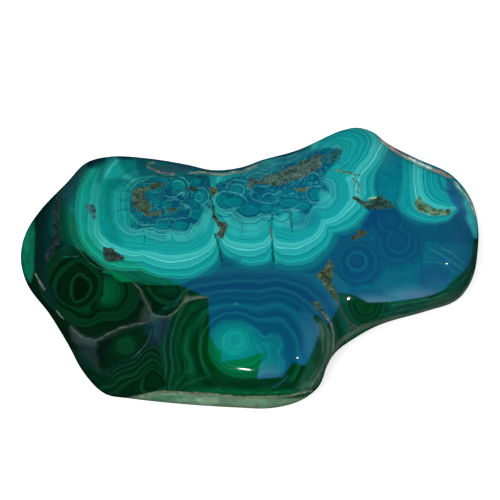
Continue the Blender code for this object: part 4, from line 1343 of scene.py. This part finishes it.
PEAK_COLOURS = [
    (2.6, (3, 35, 19)), (2.9, (2, 30, 16)), (3.05, (11, 58, 35)), (3.3, (4, 37, 21)),
    (3.8, (3, 28, 15)), (4.05, (10, 56, 34)), (4.3, (4, 39, 23)), (4.6, (3, 30, 16)),
    (5.05, (11, 58, 38)), (5.35, (4, 37, 21)), (5.8, (3, 32, 18)), (6.05, (11, 58, 39)),
    (6.35, (4, 35, 21)), (6.8, (3, 30, 18)), (7.05, (11, 55, 39)), (7.3, (3, 35, 23)),
    (8.0, (9, 42, 32)), (8.2, (4, 30, 19)), (9.7, (2, 35, 19)), (10.0, (5, 55, 33)),
    (10.6, (4, 55, 33)), (11.0, (3, 39, 21)), (12.2, (4, 25, 13)), (12.9, (4, 49, 30)),
    (13.3, (3, 37, 21)), (13.85, (2, 28, 15)), (14.0, (11, 67, 40)), (14.15, (7, 49, 30)),
    (14.3, (2, 25, 13)), (14.8, (2, 32, 18)), (14.93, (9, 56, 35)), (15.0, (3, 32, 18)),
]
FAMILY_BANDS = {
    "dark": (DARK_COLOURS, -3.5, 4.5, ((9.0, 0.22), (27.0, 0.12))),
    "peak": (PEAK_COLOURS, 2.5, 15.5, ((8.0, 0.22), (24.0, 0.10))),
    "eye": (EYE_COLOURS, -14.0, 40.0, ((0.8, 0.26),)),
    "great": (GREAT_COLOURS, -1.0, 9.0, ((9.0, 0.16), (25.0, 0.10))),
    "fan": (FAN_COLOURS, 0.0, 8.0, ((4.0, 0.14), (9.0, 0.34), (21.0, 0.18))),
}
# The painted reflection of an open sky on the polish, added to the stone's colour: black removes
# it
PAINTED_SKY_REFLECTION = (0.0016, 0.040, 0.141, 1.0)
PAINTED_SKY_REFLECTION_PALE = (0.072, 0.154, 0.284, 1.0)

# Other colours, as display colours; a pair runs from one to the other
CRUST_GROUND = ((2, 62, 62), (0, 96, 88))
CRUST_LINE = (44, 134, 120)
GROWTH_RIM = (0, 62, 54)
GROWTH_FILL = ((0, 92, 79), (2, 112, 96))
GROWTH_RIPPLE = (20, 132, 116)
CRACK_COLOUR = (0, 62, 50)
THREAD_COLOUR = (66, 158, 142)

# How fine each noise is, in waves to a metre
CURL_NOISE, CRUST_NOISE, CURL_PATCH_NOISE = 380.0, 210.0, 250.0
ROCK_NOISE, ROCK_SPECKLE, ROCK_TORN_NOISE = 700.0, 2300.0, 550.0
EDGE_NOISE = 1400.0
WASH_MOTTLE = 420.0
STROKE_NOISE = 200.0
SMEAR_NOISE, WAVE_NOISE = 60.0, 140.0

EDGE_RAGGED = 5.0       # grid steps by which the edges of markings are ragged
ROCK_TORN = 8.0         # and the edges of rocks
CURL_LINES = 11.0       # pale lines to one swing of the winding noise
LINE_STRENGTH = 4.0     # noise swings by about a quarter of its range
OWN_EDGE = 0.4          # half the grid steps over which one family gives way to another
SKY_REFLECTION_EDGE_SOFT = 0.8     # half the grid steps over which the painted sky reflection sets in
ROCK_DULLNESS = 0.22    # how much rougher rock is than the polish round it
SMEAR_LEAST, SMEAR_MOST = 0.7, 1.3      # shares of the polish's roughness
WAVE_STRENGTH = 0.25    # the slight unevenness of the polish
WAVE_DEPTH = 0.00006    # metres


def banded_colour(graph):
    """The bands of every family, each where it owns the face."""
    colour = None
    for family, (stops, low, high, lines) in FAMILY_BANDS.items():
        level = graph.field(f"level_{family}")
        own = graph.ramp(level, stops, low, high)
        light = 1.0
        for fineness, strength in lines:
            line = graph.noise(1.0, 1.0, 0.5, along=graph.math("MULTIPLY", level, fineness))
            light = graph.math("MULTIPLY_ADD", graph.math("SUBTRACT", line, 0.5),
                               strength * LINE_STRENGTH, light)
        own = graph.mix(1.0, own, light, "MULTIPLY")
        if colour is None:
            colour = own
            continue
        share = graph.spread(graph.field(f"cover_{family}"), -OWN_EDGE, OWN_EDGE)
        colour = graph.mix(share, colour, own)
    return colour


def curled_crust(graph, place, ragged):
    """The crusts: winding pale lines and plain round growths on dark blue-green."""
    winding = graph.noise(CURL_NOISE, 3.0, 0.55, place, distortion=0.5)
    lines = graph.spread(graph.math("PINGPONG", graph.math("MULTIPLY", winding, CURL_LINES), 1.0),
                         0.55, 0.95, smooth=True)
    patch = graph.noise(CRUST_NOISE, 3.0, 0.6, place)
    ground = graph.mix(graph.spread(patch, 0.40, 0.62), *(tone(*each) for each in CRUST_GROUND))
    strength = graph.spread(graph.noise(CURL_PATCH_NOISE, 2.0, 0.5, place),
                            0.35, 0.62, 0.1, 0.8)
    colour = graph.mix(graph.math("MULTIPLY", lines, strength), ground, tone(*CRUST_LINE))
    growth = graph.math("MULTIPLY_ADD", ragged, 0.2, graph.field("growth"))
    colour = graph.mix(graph.spread(growth, 0.6, 1.6, 0.55, 0.0), colour, tone(*GROWTH_RIM))
    filled = graph.mix(graph.spread(patch, 0.35, 0.65), *(tone(*each) for each in GROWTH_FILL))
    ripple = graph.spread(graph.math("PINGPONG", graph.math("MULTIPLY", growth, 0.5), 1.0),
                          0.55, 1.0, 0.0, 0.4, smooth=True)
    filled = graph.mix(ripple, filled, tone(*GROWTH_RIPPLE))
    return graph.mix(graph.spread(growth, -0.6, 0.4, 1.0, 0.0), colour, filled)


def rock_colour(graph, place, name):
    """Grey, olive, tan or rusty rock, speckled."""
    coarse = graph.spread(graph.noise(ROCK_NOISE, 3.0, 0.7, place), 0.36, 0.64, 0.4, 1.5)
    fine = graph.spread(graph.noise(ROCK_SPECKLE, 2.0, 0.7, place), 0.4, 0.68, 0.75, 1.9)
    return graph.mix(1.0, graph.shade(name), graph.math("MULTIPLY", coarse, fine), "MULTIPLY")


def malachite_finish(roughness):
    """Polished malachite, banded, crusted and veined; its colour also holds painted reflections
    and highlights.
    """
    material = bpy.data.materials.new("banded malachite")
    graph = Graph(material)
    place = graph.node("ShaderNodeTexCoord").outputs["Object"]
    colour = banded_colour(graph)
    rough_edge = graph.math("MULTIPLY", graph.math(
        "SUBTRACT", graph.noise(EDGE_NOISE, 3.0, 0.7, place), 0.5), EDGE_RAGGED)
    curls = graph.spread(graph.math("ADD", graph.field("curls"), rough_edge), -0.6, 0.8)
    owned = graph.spread(graph.field("cover_fan"), -OWN_EDGE, OWN_EDGE)
    curls = graph.math("MULTIPLY", curls, owned)
    colour = graph.mix(curls, colour, curled_crust(graph, place, rough_edge))
    mottle = graph.spread(graph.noise(WASH_MOTTLE, 4.0, 0.65, place), 0.3, 0.7, 0.72, 1.28)
    colour = graph.mix(graph.field("wash"), colour,
                       graph.mix(1.0, graph.shade("wash_colour"), mottle, "MULTIPLY"))
    faint = graph.spread(graph.noise(STROKE_NOISE, 2.0, 0.5, place), 0.35, 0.6, 0.4, 0.95)
    for name, shade in (("crack", CRACK_COLOUR), ("thread", THREAD_COLOUR)):
        line = graph.spread(graph.math("MULTIPLY_ADD", rough_edge, 0.25, graph.field(name)),
                            -0.1, 0.5, 1.0, 0.0)
        colour = graph.mix(graph.math("MULTIPLY", line, faint), colour, tone(*shade))
    torn = graph.math("MULTIPLY", graph.math(
        "SUBTRACT", graph.noise(ROCK_TORN_NOISE, 3.0, 0.7, place), 0.5), ROCK_TORN)
    rock = graph.spread(graph.math("ADD", graph.field("inclusion"), torn), -0.5, 0.7, 1.0, 0.0)
    colour = graph.mix(rock, colour, rock_colour(graph, place, "inclusion_colour"))
    vein_and_highlight = graph.spread(graph.math("ADD", graph.field("vein_and_highlight"),
                                   graph.math("MULTIPLY", rough_edge, 0.5)), -0.5, 0.9, 0.85, 0.0)
    colour = graph.mix(vein_and_highlight, colour, rock_colour(graph, place, "vein_and_highlight_colour"))
    # The painted sky reflection, added to the colour except where rock and vein lines lie
    sky = graph.math("MULTIPLY", graph.spread(graph.field("sky"), -SKY_REFLECTION_EDGE_SOFT, SKY_REFLECTION_EDGE_SOFT),
                     graph.field("sky_reflection_share"))
    bare = graph.math("MULTIPLY", graph.math("SUBTRACT", 1.0, rock),
                      graph.math("SUBTRACT", 1.0, vein_and_highlight))
    sky_reflection_colour = graph.mix(graph.field("sky_reflection_pale"), PAINTED_SKY_REFLECTION, PAINTED_SKY_REFLECTION_PALE)
    colour = graph.mix(graph.math("MULTIPLY", sky, bare), colour, sky_reflection_colour, "ADD")

    shader = graph.node("ShaderNodeBsdfPrincipled")
    graph.put(shader.inputs["Base Color"], colour)
    dull = graph.math("MULTIPLY", rock, ROCK_DULLNESS)
    smear = graph.noise(SMEAR_NOISE, 3.0, 0.6, place)
    graph.put(shader.inputs["Roughness"], graph.math(
        "ADD", dull, graph.spread(smear, 0.3, 0.7, roughness * SMEAR_LEAST,
                                  roughness * SMEAR_MOST)))
    shader.inputs["IOR"].default_value = POLISH_IOR
    shader.inputs["Metallic"].default_value = 0.0
    bump = graph.node("ShaderNodeBump")
    bump.inputs["Strength"].default_value = WAVE_STRENGTH
    bump.inputs["Distance"].default_value = WAVE_DEPTH
    graph.put(bump.inputs["Height"], graph.noise(WAVE_NOISE, 2.0, 0.5, place))
    graph.put(shader.inputs["Normal"], bump.outputs[0])
    out = graph.node("ShaderNodeOutputMaterial")
    graph.put(out.inputs["Surface"], shader.outputs[0])
    return material


def plain_finish(name, colour, glow):
    """A matt studio finish that gives off some light of its own."""
    material = bpy.data.materials.new(name)
    graph = Graph(material)
    shader = graph.node("ShaderNodeBsdfPrincipled")
    shader.inputs["Base Color"].default_value = colour
    shader.inputs["Roughness"].default_value = 0.9
    shader.inputs["Specular IOR Level"].default_value = 0.0
    shader.inputs["Emission Color"].default_value = colour
    shader.inputs["Emission Strength"].default_value = glow
    out = graph.node("ShaderNodeOutputMaterial")
    graph.put(out.inputs["Surface"], shader.outputs[0])
    return material


# ==== the pieces ====
FACE_SPAN, FACE_SPOT = 1.14, (0.5, 0.655)       # the map's width in lengths, and its middle
UNDER_SPAN, UNDER_SPOT = 2.6, (0.24, 0.15)
FACE_OPENED, UNDER_OPENED = 0.10, 0.12          # how far the steep edges are opened outwards


def bake_layout(mesh, verts, top_faces):
    """A map with the face over most of it and the underside, smaller, in a corner."""
    layout = mesh.uv_layers.new(name="OFBake")
    corners = np.empty(len(mesh.loops), dtype=np.int32)
    mesh.loops.foreach_get("vertex_index", corners)
    starts = np.empty(len(mesh.polygons), dtype=np.int32)
    mesh.polygons.foreach_get("loop_start", starts)
    split = starts[top_faces]
    spot = verts[corners][:, :2]
    # The rounded edge is opened outwards so that its steep flank keeps its width
    height = verts[corners][:, 2]
    rim = np.clip(1.0 - (height - WAIST_HEIGHT) / CROWN_RISE, 0.0, 1.0) ** 2
    opened = spot * (1.0 + FACE_OPENED * rim)[:, None]
    flat = np.empty((len(corners), 2))
    flat[:split] = opened[:split] / (LENGTH * FACE_SPAN) + FACE_SPOT
    depth = np.clip((WAIST_HEIGHT - height) / WAIST_HEIGHT, 0.0, 1.0)
    under = spot * (1.0 + UNDER_OPENED * (1.0 - depth) ** 2)[:, None]
    flat[split:] = under[split:] / (LENGTH * UNDER_SPAN) + UNDER_SPOT
    layout.data.foreach_set("uv", flat.ravel().astype(np.float32))


def build_malachite(settings):
    """The finished stone in place of the plain solid."""
    verts, faces, top_faces = stone_surface()
    verts = fit_to_solid(verts)
    mesh = bpy.data.meshes.new("malachite_stone")
    mesh.from_pydata((verts * MM).tolist(), [], faces)
    mesh.update()
    mesh.shade_smooth()
    normals = np.array([tuple(normal.vector) for normal in mesh.vertex_normals])
    for name, values in markings(verts, normals).items():
        if values.ndim == 1:
            field = mesh.attributes.new(name, "FLOAT", "POINT")
            field.data.foreach_set("value", values.astype(np.float32))
        else:
            field = mesh.attributes.new(name, "FLOAT_COLOR", "POINT")
            full = np.column_stack([values, np.ones(len(values))])
            field.data.foreach_set("color", full.ravel().astype(np.float32))
    bake_layout(mesh, verts, top_faces)
    mesh.materials.append(malachite_finish(settings.roughness))
    stone = bpy.data.objects.new("malachite_stone", mesh)
    bpy.context.scene.collection.objects.link(stone)
    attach(stone, "root")
    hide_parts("stone")
    return stone


# ==== the studio ====
CAMERA_LENS = 218.2     # millimetres, on a 36 mm wide sensor
CAMERA_LEAN = 65.0      # degrees above the horizon
CAMERA_FAR = 0.800      # metres from the middle of the waist plane
CAMERA_RISE = 0.0345    # share of the picture by which the stone sits low
CAMERA_SENSOR = 36.0    # millimetres
CAMERA_NEAREST = 0.05   # metres

FLOOR_SIDE = 3.0        # metres from the middle to each side
FLOOR_DROP = 0.0002     # metres that the floor lies below the stone
FLOOR_COLOUR = (0.8, 0.8, 0.8, 1.0)
FLOOR_GLOW = 0.78       # light of the floor's own, which keeps it pale
WHITE = (1.0, 1.0, 1.0, 1.0)
KEY_SPOT, KEY_SIZE = (-0.35, -0.55, 1.3), 0.8   # metres

# Two small lamps, which the polish shows as glints: place in metres, width, power in watts
GLINT_LAMPS = [
    ((-0.04, -1.07, 0.61), 0.045, 0.16),
    ((0.77, -0.55, 0.78), 0.06, 0.22),
]


def lean_axes():
    """The unit vectors towards the camera, to its right and up its picture."""
    lean = math.radians(CAMERA_LEAN)
    near = Vector((0.0, -math.cos(lean), math.sin(lean)))
    right = Vector((1.0, 0.0, 0.0))
    return near, right, near.cross(right)


def add_camera():
    """The camera, looking down at the middle of the waist plane."""
    near, right, up = lean_axes()
    lens = bpy.data.cameras.new("studio camera")
    lens.lens = CAMERA_LENS
    lens.sensor_width = CAMERA_SENSOR
    lens.shift_y = CAMERA_RISE
    lens.clip_start = CAMERA_NEAREST
    camera = bpy.data.objects.new("studio camera", lens)
    turn = Matrix((right, up, near)).transposed().to_4x4()
    spot = Vector((0.0, 0.0, WAIST_HEIGHT * MM)) + near * CAMERA_FAR
    camera.matrix_world = Matrix.Translation(spot) @ turn
    bpy.context.scene.collection.objects.link(camera)
    bpy.context.scene.camera = camera


def add_area_light(name, spot, size, power, glossy):
    """A round white lamp that shines at the stone; only a glossy one shows in the polish."""
    light = bpy.data.lights.new(name, "AREA")
    light.shape = "DISK"
    light.size = size
    light.energy = power
    made = bpy.data.objects.new(name, light)
    made.location = spot
    made.rotation_euler = (-Vector(spot)).to_track_quat("-Z", "Y").to_euler()
    made.visible_glossy = glossy
    bpy.context.scene.collection.objects.link(made)


def add_floor():
    """The pale floor, which the polish doesn't show."""
    side = FLOOR_SIDE
    mesh = bpy.data.meshes.new("studio floor")
    mesh.from_pydata([(-side, -side, 0), (side, -side, 0), (side, side, 0), (-side, side, 0)],
                     [], [(0, 1, 2, 3)])
    mesh.materials.append(plain_finish("pale floor", FLOOR_COLOUR, FLOOR_GLOW))
    floor = bpy.data.objects.new("studio floor", mesh)
    floor.location.z = -FLOOR_DROP
    floor.visible_glossy = False
    bpy.context.scene.collection.objects.link(floor)
    return floor


def build_studio(settings):
    """The even light, the floor, the lamps and the camera."""
    scene = bpy.context.scene
    scene.view_settings.view_transform = "Standard"
    world = bpy.data.worlds.new("studio light")
    scene.world = world
    world.use_nodes = True
    back = world.node_tree.nodes["Background"]
    back.inputs["Color"].default_value = WHITE
    back.inputs["Strength"].default_value = settings.fill
    world.cycles_visibility.glossy = False
    floor = add_floor()
    add_area_light("soft key light", KEY_SPOT, KEY_SIZE, settings.key, False)
    add_camera()
    for i, (spot, size, power) in enumerate(GLINT_LAMPS):
        add_area_light(f"small lamp {i}", spot, size, power, True)


# ==== the add-on ====
class MalachiteStoneSettings(bpy.types.PropertyGroup):
    roughness: bpy.props.FloatProperty(
        name="Polish roughness", description="Roughness of the polished surface",
        default=0.06, min=0.0, max=1.0, subtype="FACTOR")


class MalachiteStudioSettings(bpy.types.PropertyGroup):
    fill: bpy.props.FloatProperty(
        name="Fill light", description="Strength of the even light from all round",
        default=0.37, min=0.0)
    key: bpy.props.FloatProperty(
        name="Key light", description="Power of the soft light above the stone",
        default=18.0, min=0.0, subtype="POWER", unit="POWER")


class MALACHITE_OT_stone(bpy.types.Operator):
    """Build the finished malachite in place of the plain solid"""
    bl_idname = "malachite.build_stone"
    bl_label = "Build the stone"

    def execute(self, context):
        build_malachite(context.scene.malachite_stone)
        return {"FINISHED"}


class MALACHITE_OT_studio(bpy.types.Operator):
    """Build the floor, lights and camera round the stone"""
    bl_idname = "malachite.build_studio"
    bl_label = "Build the studio"

    def execute(self, context):
        build_studio(context.scene.malachite_studio)
        return {"FINISHED"}


class MALACHITE_PT_panel(bpy.types.Panel):
    bl_idname = "MALACHITE_PT_panel"
    bl_label = "Malachite freeform"
    bl_space_type = "VIEW_3D"
    bl_region_type = "UI"
    bl_category = "Malachite"

    def draw(self, context):
        layout = self.layout
        layout.prop(context.scene.malachite_stone, "roughness")
        layout.operator(MALACHITE_OT_stone.bl_idname)
        layout.prop(context.scene.malachite_studio, "fill")
        layout.prop(context.scene.malachite_studio, "key")
        layout.operator(MALACHITE_OT_studio.bl_idname)


CLASSES = (MalachiteStoneSettings, MalachiteStudioSettings, MALACHITE_OT_stone,
           MALACHITE_OT_studio, MALACHITE_PT_panel)


def register():
    """Add the classes and their settings to Blender."""
    for each in CLASSES:
        bpy.utils.register_class(each)
    bpy.types.Scene.malachite_stone = bpy.props.PointerProperty(type=MalachiteStoneSettings)
    bpy.types.Scene.malachite_studio = bpy.props.PointerProperty(type=MalachiteStudioSettings)


def unregister():
    """Take the classes and their settings out again."""
    del bpy.types.Scene.malachite_studio
    del bpy.types.Scene.malachite_stone
    for each in reversed(CLASSES):
        bpy.utils.unregister_class(each)


def main():
    """Build the stone and the studio."""
    register()
    bpy.ops.malachite.build_stone()
    bpy.ops.malachite.build_studio()


if __name__ == "__main__":
    main()
